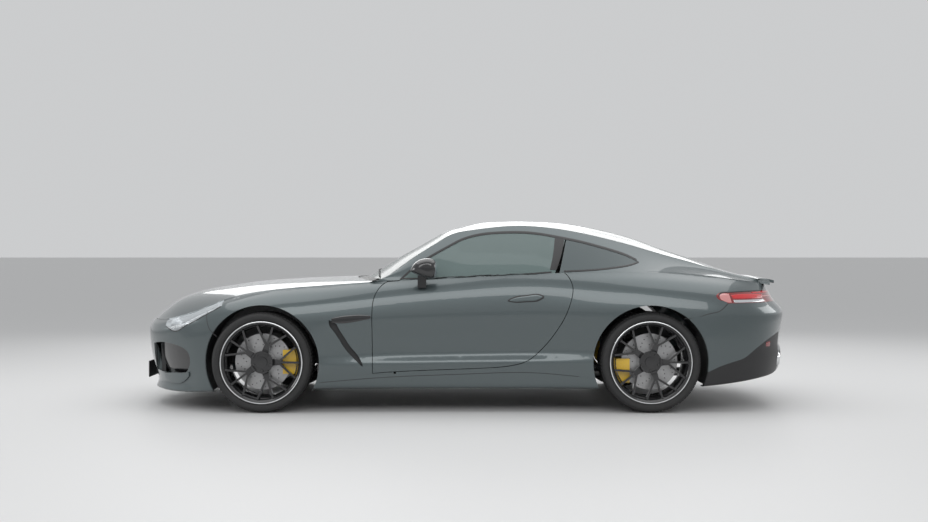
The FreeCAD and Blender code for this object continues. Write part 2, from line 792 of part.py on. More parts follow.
backing = side_sheet(-nose_arc, nose_arc, n.panel_depth + n.mesh_wall, 50, n.panel_depth + n.running_gap)
grille = backing.common(grille_prism(n.mesh_wall))
slats = side_sheet(-nose_arc * 0.5, nose_arc * 0.5, n.panel_depth + n.mesh_wall / 2, 30, n.grille_set_back)
slats = slats.common(grille_prism(-n.seam))
spaces = []
pitch = 2 * n.grille_half_width / n.slats
for i in range(int(n.slats)):
    middle = -n.grille_half_width + pitch * (i + 0.5)
    spaces.append(
        box(
            -half_length * 1.1, -half_length * 0.7, middle - n.slat_width / 2, middle + n.slat_width / 2, 0,
            height
        )
    )
slats = slats.common(Part.Compound(spaces))
grille = grille.fuse(slats.Solids)
mesh = both(whole(backing.common(intake_prism(n.mesh_margin)), "mesh"))
add("front_grille", Part.Compound(whole(grille, "grille").Solids + mesh.Solids))

# Headlamps
lamp_arcs = arc_of_nose_y(0.6 * half_width), arc_of_x(-0.69 * half_length)
lamp_shell = side_sheet(lamp_arcs[0], lamp_arcs[1], n.glass_depth, 24)
lens = carve(lamp_shell.common(side_prism(lamp_runs, grow=-n.seam)), bonnet_space)
add("headlamp_lenses", both(whole(lens, "lens")))
unit = side_sheet(lamp_arcs[0], lamp_arcs[1], n.lamp_depth, 24, n.lamp_depth - n.lamp_wall)
unit = carve(unit.common(side_prism(lamp_runs, grow=-n.seam)), bonnet_space)
add("headlamp_units", both(whole(unit, "unit")))

# Left-hand panels, each mirrored to the right
fender = side_sheet(arc_of_x(-0.8 * half_length), arc_of_x(-0.21 * half_length), n.panel_depth, 40)
fender = fender.common(side_prism(fender_region))
fender = carve(fender, front_end_space, lamp_space, front_arch, bonnet_space, door_space)
fender = carve(fender, side_prism(closed(side_shares(vent_shares))))
post = box(
    -0.3050 * half_length, -0.2773 * half_length, -0.847 * half_width, -0.78 * half_width, 0.15 * height,
    0.62 * height
)
post_top = box(
    -0.3050 * half_length, -0.2570 * half_length, -0.803 * half_width, -0.76 * half_width, 0.58 * height,
    0.672 * height
)
fender = carve(fender, post, post_top)

skirt = side_sheet(arc_of_x(-0.45 * half_length), arc_of_x(0.42 * half_length), n.skirt_depth, 34)
skirt = carve(skirt.common(side_prism(skirt_region)), front_arch, rear_arch)
add("side_skirts", both(whole(skirt, "skirt")))

lid_front = n.roof_rear + n.lid_clearance
lid_space = roof_sheet(
    n.roof_rear, roof_end + n.lid_clearance, n.roof_depth + n.lid_clearance, n.roof_depth + n.lid_clearance,
    cut_cover
)
roof_space = roof_sheet(
    roof_start, n.roof_rear + n.flange, n.roof_depth + n.flange, n.roof_depth + n.running_gap,
    side_cover + 0.001
)
side = side_sheet(arc_of_x(-0.44 * half_length), arc_of_tail_y(n.tail_lamp_inner), n.skirt_depth, 60)
front_half = side_prism(fender_region, grow=n.seam).common(
    box(-far, -0.2 * half_length, -far, 0, -far, far)
)
side = carve(side, door_space, front_half, side_prism(skirt_region, grow=n.seam), front_arch, rear_arch)
side = carve(side, side_prism(bumper_region), side_prism(lamp_region, grow=n.seam), lid_space)
flank = flank_sheet(0.0, 1.0, n.panel_depth, start=0.0015)
window_runs = closed(
    window_top, [window_top[-1], window_base[0]], window_base,
    [
        window_base[-1], (window_split[-1][0] + n.arch_radius / 8, 0.6 * height)
    ], [(-0.19 * half_length, 0.6 * height), window_top[0]],
)
flank = carve(flank, side_prism(window_runs), lid_space, roof_space, fender)
flank = whole(flank, "flank")
bar = carve(belt_bar(n.bar_near, n.bar_beyond, n.bar_half), door_space, side_prism(window_runs), lid_space)
side = side.fuse(bar).fuse([flank, post, post_top])

glass = flank_sheet(0.0, 0.75, n.glass_depth)
quarter = glass.common(side_prism(window_runs, grow=-n.seam))
quarter = carve(
    quarter,
    side_prism(
        closed(
            [
                (window_split[0][0] + n.panel_gap, window_split[0][1]),
                (window_split[1][0] + n.panel_gap, window_split[1][1] - n.arch_radius / 4)
            ],
            [(-far, 0), (-far, 1.5 * height)]
        )
    )
)
add("quarter_glass", both(whole(quarter, "quarter_glass")))
pane = glass.common(side_prism(window_runs, grow=-n.panel_gap))
pane = pane.common(side_prism(closed(window_split, [(-far, 0.5 * height), (-far, 1.2 * height)])))

roof = roof_sheet(n.header + n.seam, n.roof_rear, 0.0, n.roof_depth, side_cover)
side = carve(side, roof)
windscreen = roof_sheet(roof_start, n.header, 0.0, n.windscreen_depth, side_cover, 24)
add("windscreen", whole(windscreen, "windscreen"))

# Tail: bumper, diffuser and lamps
tail_arc = arc_of_x(0.6 * half_length)
tail = side_sheet(tail_arc, 2 * total_arc - tail_arc, n.skirt_depth, 60)


def pipe(y, radius, front, rear):
    return Part.makeCylinder(radius, rear - front, vector(front, y, n.tip_height), vector(1, 0, 0))


tip_spaces = [
    pipe(side_sign * n.tip_y, n.tip_radius + n.tip_clearance, n.tip_front, n.tip_rear * 1.2)
    for side_sign in (-1, 1)
]
rear_bumper = tail.common(side_prism(bumper_region))
rear_bumper = carve(rear_bumper, side_prism(diffuser_region), rear_arch, *tip_spaces)
add("rear_bumper", whole(rear_bumper, "rear_bumper"))
diffuser = tail.common(side_prism(diffuser_region, grow=-n.seam))
diffuser = carve(diffuser, rear_arch, *tip_spaces)
add("rear_diffuser", whole(diffuser, "rear_diffuser"))
lamp = side_sheet(tail_arc, arc_of_tail_y(n.tail_lamp_inner), n.tail_lamp_depth, 40)
lamp = carve(lamp.common(side_prism(lamp_region)), lid_space)
add("tail_lamps", both(whole(lamp, "tail_lamp")))

# Tailgate: the top sheet with its window, the panel between the lamps and the lip
gate = roof_sheet(lid_front, roof_end, 0.0, n.roof_depth, lid_cover, 40)
inner_half = n.tail_lamp_inner - n.panel_gap
between = side_sheet(
    arc_of_tail_y(inner_half), 2 * total_arc - arc_of_tail_y(inner_half), n.skirt_depth, 24
)
between = between.common(box(0, far, -far, far, n.tail_lamp_low + n.panel_gap, height))


def lip_point(share, part, lift):
    """The lip's skin: part runs from the deck to the tip."""
    start = roof_point(roof_end * 0.965, share * 0.95)
    end = roof_point(roof_end, share * 0.95)
    tip_x = end.x + n.lip_reach * (1 - 0.4 * share * share)
    x = start.x + (tip_x - start.x) * part
    z = start.z + (n.lip_height - start.z) * part + n.lip_rise * math.sin(math.pi * part)
    return vector(x, start.y + (end.y - start.y) * part, z + lift)


sizes(lip_reach=52, lip_height=908, lip_rise=5, lip_top=4, lip_depth=16)


def lip_grid(lift):
    return [[lip_point(-1 + i / 10, j / 8, lift) for j in range(9)] for i in range(21)]


lip = thick(lip_grid(n.lip_top), lip_grid(-n.lip_depth))
window = plan_prism(closed(
    [
        (n.glass_front, -0.46 * half_width), (n.glass_front - 0.012 * half_length, 0),
        (n.glass_front, 0.46 * half_width)
    ],
    [(n.glass_front, 0.46 * half_width), (n.glass_rear, 0.40 * half_width)],
    [
        (n.glass_rear, 0.40 * half_width), (n.glass_rear + 0.012 * half_length, 0),
        (n.glass_rear, -0.40 * half_width)
    ],
))
gate = carve(gate, window).fuse([between, lip])
rear_glass = roof_sheet(n.glass_front * 0.9, n.glass_rear * 1.1, 0.0, n.windscreen_depth, 0.92, 30)
add("rear_glass", whole(rear_glass.common(window), "rear_glass"))

# Bonnet and cowl
bonnet = bonnet_sheet(0.0, n.bonnet_depth, n.flange + n.panel_gap)


def cowl_point(share, across_share, lift):
    front = bonnet_point(1.0, across_share, n.cowl_margin, -n.cowl_drop)
    rear = roof_point(roof_start, across_share * n.cowl_cover)
    front.x += n.lid_clearance
    rear.x -= n.seam
    point = front + (rear - front) * share
    return vector(point.x, point.y, point.z + lift)


sizes(cowl_margin=72, cowl_drop=4, cowl_cover=0.935, cowl_depth=12)


def cowl_grid(lift):
    return [[cowl_point(i / 4, -1 + 2 * j / 16, lift) for j in range(17)] for i in range(5)]


cowl = thick(cowl_grid(0.0), cowl_grid(-n.cowl_depth))

# Doors
door = side_sheet(arc_of_x(-0.31 * half_length), arc_of_x(0.36 * half_length), n.door_depth, 26)
door = door.common(side_prism(door_runs))
belt_front = closed(
    [(window_top[0][0], 0.9 * height), (window_top[0][0], window_top[0][1] - n.panel_gap * 1.6)],
    [
        (door_front[0][0] - n.arch_radius / 4, door_front[0][1] - n.panel_gap * 1.6),
        (door_front[0][0] - n.arch_radius / 4, 0.9 * height)
    ]
)
door = carve(door, side_prism(belt_front))

# Objects whose sizes are bound to the sheet

def bind(item, prop, formula):
    if isinstance(formula, Formula):
        item.setExpression(prop, formula.text)
        return formula.value
    return formula


def block(name, x0, x1, y0, y1, z0, z1):
    """A box between six planes, each a formula of the sheet."""
    item = doc.addObject("Part::Box", name)
    for prop, low, high in (("Length", x0, x1), ("Width", y0, y1), ("Height", z0, z1)):
        setattr(item, prop, float(high) - float(low))
        bind(item, prop, high - low)
    item.Placement = FreeCAD.Placement(vector(float(x0), float(y0), float(z0)), FreeCAD.Rotation())
    for axis, low in (("x", x0), ("y", y0), ("z", z0)):
        bind(item, "Placement.Base." + axis, low)
    return item


def rod(name, radius, start, length, direction):
    """A cylinder from a start point along one axis of the car."""
    item = doc.addObject("Part::Cylinder", name)
    item.Radius = float(radius)
    item.Height = float(length)
    bind(item, "Radius", radius)
    bind(item, "Height", length)
    turns = {"x": (vector(0, 1, 0), 90), "y": (vector(1, 0, 0), -90), "z": (vector(0, 0, 1), 0)}
    axis, angle = turns[direction]
    item.Placement = FreeCAD.Placement(vector(*[float(v) for v in start]), FreeCAD.Rotation(axis, angle))
    for letter, value in zip("xyz", start):
        bind(item, "Placement.Base." + letter, value)
    return item


def fused(name, *items):
    item = doc.addObject("Part::MultiFuse", name)
    item.Shapes = list(items)
    item.Refine = True
    return item


def cut_from(name, base, *tools):
    for i, tool in enumerate(tools):
        item = doc.addObject("Part::Cut", name if i == len(tools) - 1 else name + "_stage%d" % i)
        item.Base = base
        item.Tool = tool
        base = item
    return base


def mirror_of(name, item):
    copy = doc.addObject("Part::Mirroring", name)
    copy.Source = item
    copy.Normal = vector(0, 1, 0)
    return copy


def keep(item, label=None):
    """Counts an object as a sub-part of the car."""
    item.Label = label or item.Name
    nodes.append(item)
    return item


def plane_of(body, role):
    return [feature for feature in body.Origin.OriginFeatures if feature.Role == role][0]


def outline_sketch(body, name, role, corners):
    """A closed sketch of straight lines, with each corner bound to the sheet."""
    sketch = body.newObject("Sketcher::SketchObject", name)
    sketch.AttachmentSupport = (plane_of(body, role), [""])
    sketch.MapMode = "FlatFace"
    count = len(corners)
    points = [vector(float(a), float(b), 0) for a, b in corners]
    for i in range(count):
        sketch.addGeometry(Part.LineSegment(points[i], points[(i + 1) % count]), False)
    for i in range(count):
        sketch.addConstraint(Sketcher.Constraint("Coincident", i, 2, (i + 1) % count, 1))
    for i, corner_pair in enumerate(corners):
        for kind, formula in zip(("DistanceX", "DistanceY"), corner_pair):
            index = sketch.addConstraint(Sketcher.Constraint(kind, -1, 1, i, 1, float(formula)))
            bind(sketch, "Constraints[%d]" % index, formula)
    return sketch


def revolved(body, name, corners):
    """A ring round the wheel's axis. Each corner is a distance out along the axis and a radius."""
    sketch = outline_sketch(
        body, name + "_profile", "YZ_Plane", [(-out, radius) for out, radius in corners]
    )
    ring = body.newObject("PartDesign::Revolution", name)
    ring.Profile = sketch
    ring.ReferenceAxis = (sketch, ["H_Axis"])
    ring.Angle = 360
    return ring


sizes(
    spindle_length=92, kingpin_inset=30, kingpin_radius=12, post_half=34, post_low=225, post_high=478,
    pin_depth=30,
    disc_near=6, disc_far=38, caliper_inner=30, caliper_outer=62, caliper_low_radius=140,
    caliper_high_radius=236,
    caliper_half_height=84, caliper_gap=5, caliper_drop=62, flange_out=133, flange_in=119, hub_out=100,
    hub_in=55,
    spoke_foot_near=62, spoke_foot_far=98, spoke_end_near=88, spoke_end_far=126, spoke_reach=251,
    stem_end=112, stem_half=25, stem_neck=19, prong_half=7, prong_length=163, bolt_hole=30,
    rim_drop=14, rim_barrel_wall=10,
)
prong_turn = math.radians(41)


def tyre(name, width, x, side_sign, y):
    body = doc.addObject("PartDesign::Body", name)
    half = width / 2
    corners = [
        (half - (half - s.flange_in), s.rim_bead_radius), (
            s.flange_in, s.rim_flange_radius + s.tyre_bead_gap
        ),
        (
            half - s.tyre_bead_gap * 4, s.rim_flange_radius + s.tyre_bead_gap * 9
        ), (half, s.rim_flange_radius + s.tyre_bead_gap * 28),
        (
            half - s.tyre_bead_gap * 3, s.tyre_radius - s.tyre_bead_gap * 18
        ), (half - s.tyre_bead_gap * 14, s.tyre_radius - s.tyre_bead_gap * 5),
        (half - s.tyre_bead_gap * 36, s.tyre_radius),
    ]
    ring = revolved(body, name + "_ring", corners + [(-out, radius) for out, radius in reversed(corners)])
    place_wheel(body, x, side_sign, y)
    return keep(body, name)


def place_wheel(body, x, side_sign, y):
    turn = FreeCAD.Rotation(vector(0, 0, 1), 0 if side_sign < 0 else 180)
    body.Placement = FreeCAD.Placement(vector(float(x), float(y) * side_sign, float(s.tyre_radius)), turn)
    body.setExpression("Placement.Base.x", x.text)
    body.setExpression("Placement.Base.y", (y * float(side_sign)).text)
    body.setExpression("Placement.Base.z", s.tyre_radius.text)


def rim(name, x, side_sign, y):
    body = doc.addObject("PartDesign::Body", name)
    wall = s.rim_barrel_wall
    barrel = [
        (-s.flange_out, s.rim_bead_radius - wall), (-s.flange_out, s.rim_flange_radius),
        (-s.flange_in, s.rim_flange_radius),
        (-s.flange_in, s.rim_bead_radius), (-s.flange_in + wall * 3, s.rim_bead_radius),
        (-s.flange_in + wall * 4, s.rim_bead_radius - s.rim_drop),
        (
            s.flange_in - wall * 6, s.rim_bead_radius - s.rim_drop
        ), (s.flange_in - wall * 5, s.rim_bead_radius),
        (s.flange_in, s.rim_bead_radius), (s.flange_in, s.rim_flange_radius),
        (s.flange_out, s.rim_flange_radius),
        (s.flange_out, s.rim_flange_radius - wall), (s.flange_in, s.rim_bead_radius - wall),
        (s.flange_in - wall * 4, s.rim_bead_radius - s.rim_drop - wall), (
            -s.flange_in + wall * 3, s.rim_bead_radius - s.rim_drop - wall
        ),
    ]
    revolved(body, name + "_barrel", barrel)
    hub = [
        (s.hub_in, s.spindle_radius + s.running_gap), (s.hub_out, s.spindle_radius + s.running_gap),
        (s.hub_out, s.hub_radius), (s.hub_in, s.hub_radius),
    ]
    revolved(body, name + "_hub", hub)
    foot = s.hub_radius - s.hub_radius / 6
    lean, rise = math.cos(prong_turn), math.sin(prong_turn)
    half_spoke = [
        (foot, s.stem_half),
        (s.stem_end + s.stem_neck * (lean / rise) - s.prong_half * (1 / rise), s.stem_neck),
        (
            s.stem_end + s.prong_length * lean - s.prong_half * rise,
            s.prong_length * rise + s.prong_half * lean
        ),
        (
            s.stem_end + s.prong_length * lean + s.prong_half * rise,
            s.prong_length * rise - s.prong_half * lean
        ),
        (s.stem_end + s.prong_half * ((1 + lean) / rise), s.prong_half),
        (s.spoke_reach * 1.035, s.prong_half),
    ]
    corners = half_spoke + [(along, -across_spoke) for along, across_spoke in reversed(half_spoke)]
    sketch = outline_sketch(body, name + "_spoke_outline", "XZ_Plane", corners)
    sketch.AttachmentOffset = FreeCAD.Placement(vector(0, 0, n.spoke_foot_near), FreeCAD.Rotation())
    sketch.setExpression("AttachmentOffset.Base.z", "Sizes.spoke_foot_near")
    spoke = body.newObject("PartDesign::Pad", name + "_spoke")
    spoke.Profile = sketch
    spoke.Length = n.spoke_end_far - n.spoke_foot_near
    spoke.setExpression("Length", "Sizes.spoke_end_far - Sizes.spoke_foot_near")
    pattern = body.newObject("PartDesign::PolarPattern", name + "_spokes")
    pattern.Originals = [spoke]
    pattern.Axis = (plane_of(body, "Y_Axis"), [""])
    pattern.Angle = 360
    pattern.Occurrences = 5
    body.Tip = pattern
    # The dish outside the spokes and the hollow behind them
    dish = [
        (s.spoke_foot_far, s.hub_radius), (s.spoke_end_far, s.spoke_reach * 0.955),
        (s.spoke_end_far * 1.02, s.spoke_reach * 0.955), (s.spoke_end_far * 1.02, s.hub_radius),
    ]
    hollow = [
        (s.spoke_foot_near * 0.98, s.hub_radius), (s.spoke_foot_near + wall / 5, s.hub_radius),
        (s.spoke_end_near, s.spoke_reach * 0.955), (s.spoke_foot_near * 0.98, s.spoke_reach * 0.955),
    ]
    for part_name, corners in (("dish", dish), ("hollow", hollow)):
        profile = outline_sketch(
            body, name + "_" + part_name + "_profile", "YZ_Plane",
            [(-out, radius) for out, radius in corners]
        )
        groove = body.newObject("PartDesign::Groove", name + "_" + part_name)
        groove.Profile = profile
        groove.ReferenceAxis = (profile, ["H_Axis"])
        groove.Angle = 360
        body.Tip = groove
    place_wheel(body, x, side_sign, y)
    return keep(body, name)


def disc(name, x, side_sign, y):
    body = doc.addObject("PartDesign::Body", name)
    corners = [
        (s.disc_near, s.bolt_hole), (s.disc_near, s.disc_radius), (s.disc_far, s.disc_radius),
        (s.disc_far, s.hat_radius),
        (s.hub_in, s.hat_radius), (s.hub_in, s.bolt_hole),
    ]
    revolved(body, name + "_ring", corners)
    place_wheel(body, x, side_sign, y)
    return keep(body, name)


# Wheels
front_x = s.front_overhang - s.overall_length / 2
rear_x = front_x + s.wheelbase
front_y = s.front_track / 2
rear_y = s.rear_track / 2
corners_of_car = [
    (
        "front_left", front_x, -1, front_y, s.front_tyre_width
    ), ("front_right", front_x, 1, front_y, s.front_tyre_width),
    (
        "rear_left", rear_x, -1, rear_y, s.rear_tyre_width
    ), ("rear_right", rear_x, 1, rear_y, s.rear_tyre_width),
]
for where, x, side_sign, y, width in corners_of_car:
    tyre("tyre_" + where, width, x, side_sign, y)
    rim("rim_" + where, x, side_sign, y)
    disc("brake_disc_" + where, x, side_sign, y)


def reach(x, near, beyond, side):
    """Two planes across the car at two distances behind x, or ahead of it where side is -1."""
    return (x + near, x + beyond) if side > 0 else (x - beyond, x - near)


def caliper(name, x, y, side=1, drop=0.0):
    """A block over the disc's edge, made for the left side."""
    x0, x1 = reach(x, s.caliper_low_radius, s.caliper_high_radius * 1.04, side)
    shell = block(
        name + "_block", x0, x1, -y - s.caliper_outer, -y + s.caliper_inner,
        s.tyre_radius - s.caliper_half_height - drop, s.tyre_radius + s.caliper_half_height - drop,
    )
    bound = rod(
        name + "_bound", s.caliper_high_radius, (x, -y - s.caliper_outer, s.tyre_radius),
        s.caliper_outer + s.caliper_inner, "y"
    )
    slot = rod(
        name + "_slot", s.disc_radius + s.caliper_gap, (x, -y - s.disc_far - s.caliper_gap, s.tyre_radius),
        s.disc_far - s.disc_near + s.caliper_gap * 2, "y"
    )
    rounded_block = doc.addObject("Part::Common", name + "_rounded")
    rounded_block.Base = shell
    rounded_block.Tool = bound
    return cut_from(name, rounded_block, slot)


# Front knuckles: a post on the kingpin's line, a spindle for the wheel and the brake caliper
def knuckle_parts(name, x, y, side=1):
    post_y = y - s.kingpin_inset
    post = block(
        name + "_post", x - s.post_half, x + s.post_half, -post_y - s.kingpin_inset,
        -post_y + s.kingpin_inset, s.post_low, s.post_high
    )
    spindle = rod(
        name + "_spindle", s.spindle_radius, (x, -y - s.spindle_length, s.tyre_radius),
        s.spindle_length + s.kingpin_inset, "y"
    )
    x0, x1 = reach(x, s.post_half / 2, s.caliper_low_radius * 1.15, side)
    arm = block(
        name + "_caliper_arm", x0, x1, -y + s.caliper_gap, -y + s.caliper_inner,
        s.tyre_radius - s.post_half, s.tyre_radius + s.post_half,
    )
    return post, spindle, arm


post, spindle, arm = knuckle_parts("knuckle", front_x, front_y)
carrier = fused("knuckle_carrier", post, spindle, arm)
hole_radius = s.kingpin_radius + s.running_gap
pin_y = s.kingpin_inset - front_y
low_hole = rod(
    "knuckle_low_hole", hole_radius, (front_x, pin_y, s.post_low - s.pin_depth), s.pin_depth * 2, "z"
)
high_hole = rod(
    "knuckle_high_hole", hole_radius, (front_x, pin_y, s.post_high - s.pin_depth), s.pin_depth * 2, "z"
)
knuckle_left = cut_from("knuckle_front_left", carrier, low_hole, high_hole)
front_caliper = caliper("front_caliper", front_x, front_y)
caliper_left = cut_from("caliper_front_left", front_caliper, carrier)
keep(knuckle_left, "knuckle_front_left")
keep(mirror_of("knuckle_front_right", knuckle_left))
keep(caliper_left, "caliper_front_left")
keep(mirror_of("caliper_front_right", caliper_left))

# The structure between the wheels
sizes(
    floor_front=-960, floor_rear=930, floor_low=166, floor_high=182, floor_half=900,
    tunnel_half=130, tunnel_high=390, tunnel_wall=14,
    firewall_front=-960, firewall_rear=-944, firewall_half=770, firewall_high=862,
    shelf_rear=-640, shelf_low=846, shelf_half=740,
    rail_front=-2160, rail_in=400, rail_out=470, rail_low=300, rail_high=420,
    support_front=-2190, support_half=560, support_low=190, support_high=600, support_wall=30,
    bracket_low=505, bracket_high=560,
    bulkhead_front=905, bulkhead_high=520, boot_floor_low=496, boot_floor_half=615, boot_floor_rear=2150,
    boot_wall=16,
    tail_support_half=300, tail_support_front=2090,
    pad_front=-720, pad_rear=740, pad_y=700, pad_half=30, pad_drop=12,
)
floor = block(
    "floor_slab", s.floor_front, s.floor_rear, -s.floor_half, s.floor_half, s.floor_low, s.floor_high
)
tunnel = block(
    "tunnel_outside", s.floor_front, s.floor_rear, -s.tunnel_half, s.tunnel_half, s.floor_low, s.tunnel_high
)
tunnel_space = block(
    "tunnel_inside", s.floor_front - s.seam, s.floor_rear + s.seam, s.tunnel_wall - s.tunnel_half,
    s.tunnel_half - s.tunnel_wall, s.floor_low - s.seam, s.tunnel_high - s.tunnel_wall
)
firewall = block(
    "firewall", s.firewall_front, s.firewall_rear, -s.firewall_half, s.firewall_half, s.floor_low,
    s.firewall_high
)
shelf = block(
    "cowl_shelf", s.firewall_front, s.shelf_rear, -s.shelf_half, s.shelf_half, s.shelf_low, s.firewall_high
)
rails = []
for side_sign in (-1, 1):
    near, beyond = (-s.rail_out, -s.rail_in) if side_sign < 0 else (s.rail_in, s.rail_out)
    rails.append(
        block(
            "rail_%d" % (len(rails) + 1), s.rail_front, s.firewall_rear, near, beyond, s.rail_low,
            s.rail_high
        )
    )
support = block(
    "radiator_support_plate", s.support_front, s.support_front + s.support_wall, -s.support_half,
    s.support_half, s.support_low, s.support_high
)
support_hole = block(
    "radiator_opening", s.support_front - s.seam, s.support_front + s.support_wall + s.seam, -s.rail_in,
    s.rail_in, s.support_low + s.support_wall, s.support_high - s.support_wall
)
horn_shapes = [
    block(
        "bumper_bracket_%d" % (i + 1), -s.overall_length / 2, s.support_front + s.seam, y0, y1,
        s.bracket_low, s.bracket_high
    )
    for i, (y0, y1) in enumerate(
        ((-s.rail_out - s.rail_in / 8, -s.rail_in * 1.18), (s.rail_in * 1.18, s.rail_out + s.rail_in / 8))
    )
]
bulkhead = block(
    "bulkhead", s.bulkhead_front, s.floor_rear, -s.boot_floor_half, s.boot_floor_half, s.floor_low,
    s.bulkhead_high
)
boot_floor = block(
    "boot_floor", s.bulkhead_front, s.boot_floor_rear, -s.boot_floor_half, s.boot_floor_half,
    s.boot_floor_low, s.boot_floor_low + s.boot_wall
)
tail_support = block(
    "tail_support", s.tail_support_front, s.overall_length / 2, -s.tail_support_half, s.tail_support_half,
    s.boot_floor_low, s.boot_floor_low + s.boot_wall
)
pads = [
    block(
        "jacking_pad_%d_%d" % (i + 1, j + 1), x - s.pad_half, x + s.pad_half, y - s.pad_half,
        y + s.pad_half, s.floor_low - s.pad_drop, s.floor_high
    )
    for i, x in enumerate((s.pad_front, s.pad_rear)) for j, y in enumerate((-s.pad_y, s.pad_y))
]
solid_floor = fused(
    "floor_whole", floor, tunnel, firewall, shelf, support, bulkhead, boot_floor, tail_support,
    *(rails + horn_shapes + pads)
)
hollow_floor = cut_from("floor_hollow", solid_floor, tunnel_space, support_hole)

# Suspension, drive and steering arms
sizes(
    cross_front=-1490, cross_rear=-1300, cross_half=470, cross_low=192, arm_low=196, arm_high=218,
    arm_half_length=36,
    top_arm_low=484, top_arm_high=506, tower_high=520,
    rear_cross_front=1190, rear_cross_rear=1400, rear_cross_half=480, rear_cross_low=225,
    rear_cross_high=300,
    diff_half=150, diff_low=235, diff_high=440, shaft_radius=20,
    rear_tower_in=420, rear_tower_out=480,
)
front_cross = block(
    "front_cross", s.cross_front, s.cross_rear, -s.cross_half, s.cross_half, s.cross_low, s.rail_low
)
pieces = [front_cross]
for i, side_sign in enumerate((-1, 1)):
    def span(a, b):
        return (-b, -a) if side_sign < 0 else (a, b)
    pin_line = (front_y - s.kingpin_inset) * float(side_sign)
    y0, y1 = span(s.cross_half - s.arm_half_length, front_y - s.kingpin_inset + s.arm_half_length / 2)
    pieces.append(
        block(
            "front_low_arm_%d" % i, front_x - s.arm_half_length, front_x + s.arm_half_length, y0, y1,
            s.arm_low, s.arm_high
        )
    )
    pieces.append(
        block(
            "front_top_arm_%d" % i, front_x - s.arm_half_length, front_x + s.arm_half_length, y0, y1,
            s.top_arm_low, s.top_arm_high
        )
    )
    pieces.append(
        rod(
            "front_low_pin_%d" % i, s.kingpin_radius, (front_x, pin_line, s.arm_low),
            s.post_low - s.arm_low + s.pin_depth * 0.8, "z"
        )
    )
    pieces.append(
        rod(
            "front_top_pin_%d" % i, s.kingpin_radius, (front_x, pin_line, s.post_high - s.pin_depth * 0.8),
            s.top_arm_high - s.post_high + s.pin_depth * 0.8, "z"
        )
    )
    y0, y1 = span(s.rail_in, s.rail_out)
    pieces.append(
        block(
            "front_tower_%d" % i, front_x - s.arm_half_length * 2, front_x + s.arm_half_length * 2, y0, y1,
            s.rail_high, s.tower_high
        )
    )
front_suspension = keep(fused("front_suspension", *pieces))

pieces = [
    block(
        "rear_cross", s.rear_cross_front, s.rear_cross_rear, -s.rear_cross_half, s.rear_cross_half,
        s.rear_cross_low, s.rear_cross_high
    ),
    block(
        "final_drive", rear_x - s.diff_half, rear_x + s.diff_half, -s.diff_half, s.diff_half, s.diff_low,
        s.diff_high
    ),
]
for i, side_sign in enumerate((-1, 1)):
    def span(a, b):
        return (-b, -a) if side_sign < 0 else (a, b)
    y0, y1 = span(s.rear_tower_in, s.rear_tower_out)
    pieces.append(
        block(
            "rear_tower_%d" % i, rear_x - s.arm_half_length * 2, rear_x + s.arm_half_length * 2, y0, y1,
            s.rear_cross_high - s.seam, s.boot_floor_low
        )
    )
    y0, y1 = span(s.rear_cross_half - s.arm_half_length, rear_y - s.kingpin_inset)
    pieces.append(
        block(
            "rear_low_arm_%d" % i, rear_x - s.arm_half_length, rear_x + s.arm_half_length, y0, y1,
            s.rear_cross_low, s.rear_cross_low + s.arm_high - s.arm_low
        )
    )
    pieces.append(
        block(
            "rear_top_arm_%d" % i, rear_x - s.arm_half_length, rear_x + s.arm_half_length, y0, y1,
            s.post_high - s.arm_high + s.arm_low, s.post_high
        )
    )
    y0, y1 = span(s.diff_half - s.seam, rear_y - s.kingpin_inset)
    pieces.append(rod("rear_shaft_%d" % i, s.shaft_radius, (rear_x, y0, s.tyre_radius), y1 - y0, "y"))
rear_post, rear_spindle, rear_arm = knuckle_parts("rear_knuckle", rear_x, rear_y, -1)
rear_knuckle = fused("rear_knuckle_left", rear_post, rear_spindle, rear_arm)
pieces += [rear_knuckle, mirror_of("rear_knuckle_right", rear_knuckle)]
rear_suspension = keep(fused("rear_suspension", *pieces))
rear_caliper = caliper("rear_caliper", rear_x, rear_y, -1, s.caliper_drop)
rear_caliper_left = cut_from("rear_caliper_left", rear_caliper, rear_knuckle)
pair = doc.addObject("Part::Compound", "rear_calipers")
pair.Links = [rear_caliper_left, mirror_of("rear_caliper_right", rear_caliper_left)]
keep(pair)

# Engine, exhaust and cabin
sizes(
    engine_front=-1900, engine_rear=-1060, engine_half=270, engine_high=780,
    pipe_radius=27, pipe_offset=62, pipe_height=196, pipe_front=-1056,
    silencer_front=1900, silencer_rear=2090, silencer_half=640, silencer_low=250, silencer_high=420,
    hanger_half=12,
    seat_middle=385, seat_half=250, dash_half=724, headrest_half=130, rear_seat_half=560,
    wheel_x=-262, wheel_z=850, wheel_ring=178, wheel_tube=15, column_radius=26, boss_radius=62,
    boss_depth=40,
)
keep(
    block(
        "engine_block", s.engine_front, s.engine_rear, -s.engine_half, s.engine_half, s.rail_low,
        s.engine_high
    )
)
pieces = [
    block(
        "silencer", s.silencer_front, s.silencer_rear, -s.silencer_half, s.silencer_half, s.silencer_low,
        s.silencer_high
    )
]
pieces.append(
    block(
        "collector", s.silencer_front - s.pipe_offset, s.silencer_front + s.seam, -s.pipe_offset * 1.6,
        s.pipe_offset * 1.6, s.pipe_height - s.pipe_radius, s.silencer_low + s.pipe_offset
    )
)
pieces.append(
    block(
        "engine_flange", s.pipe_front - s.pipe_offset, s.pipe_front, -s.pipe_offset * 1.6,
        s.pipe_offset * 1.6, s.pipe_height - s.pipe_radius, s.rail_low
    )
)
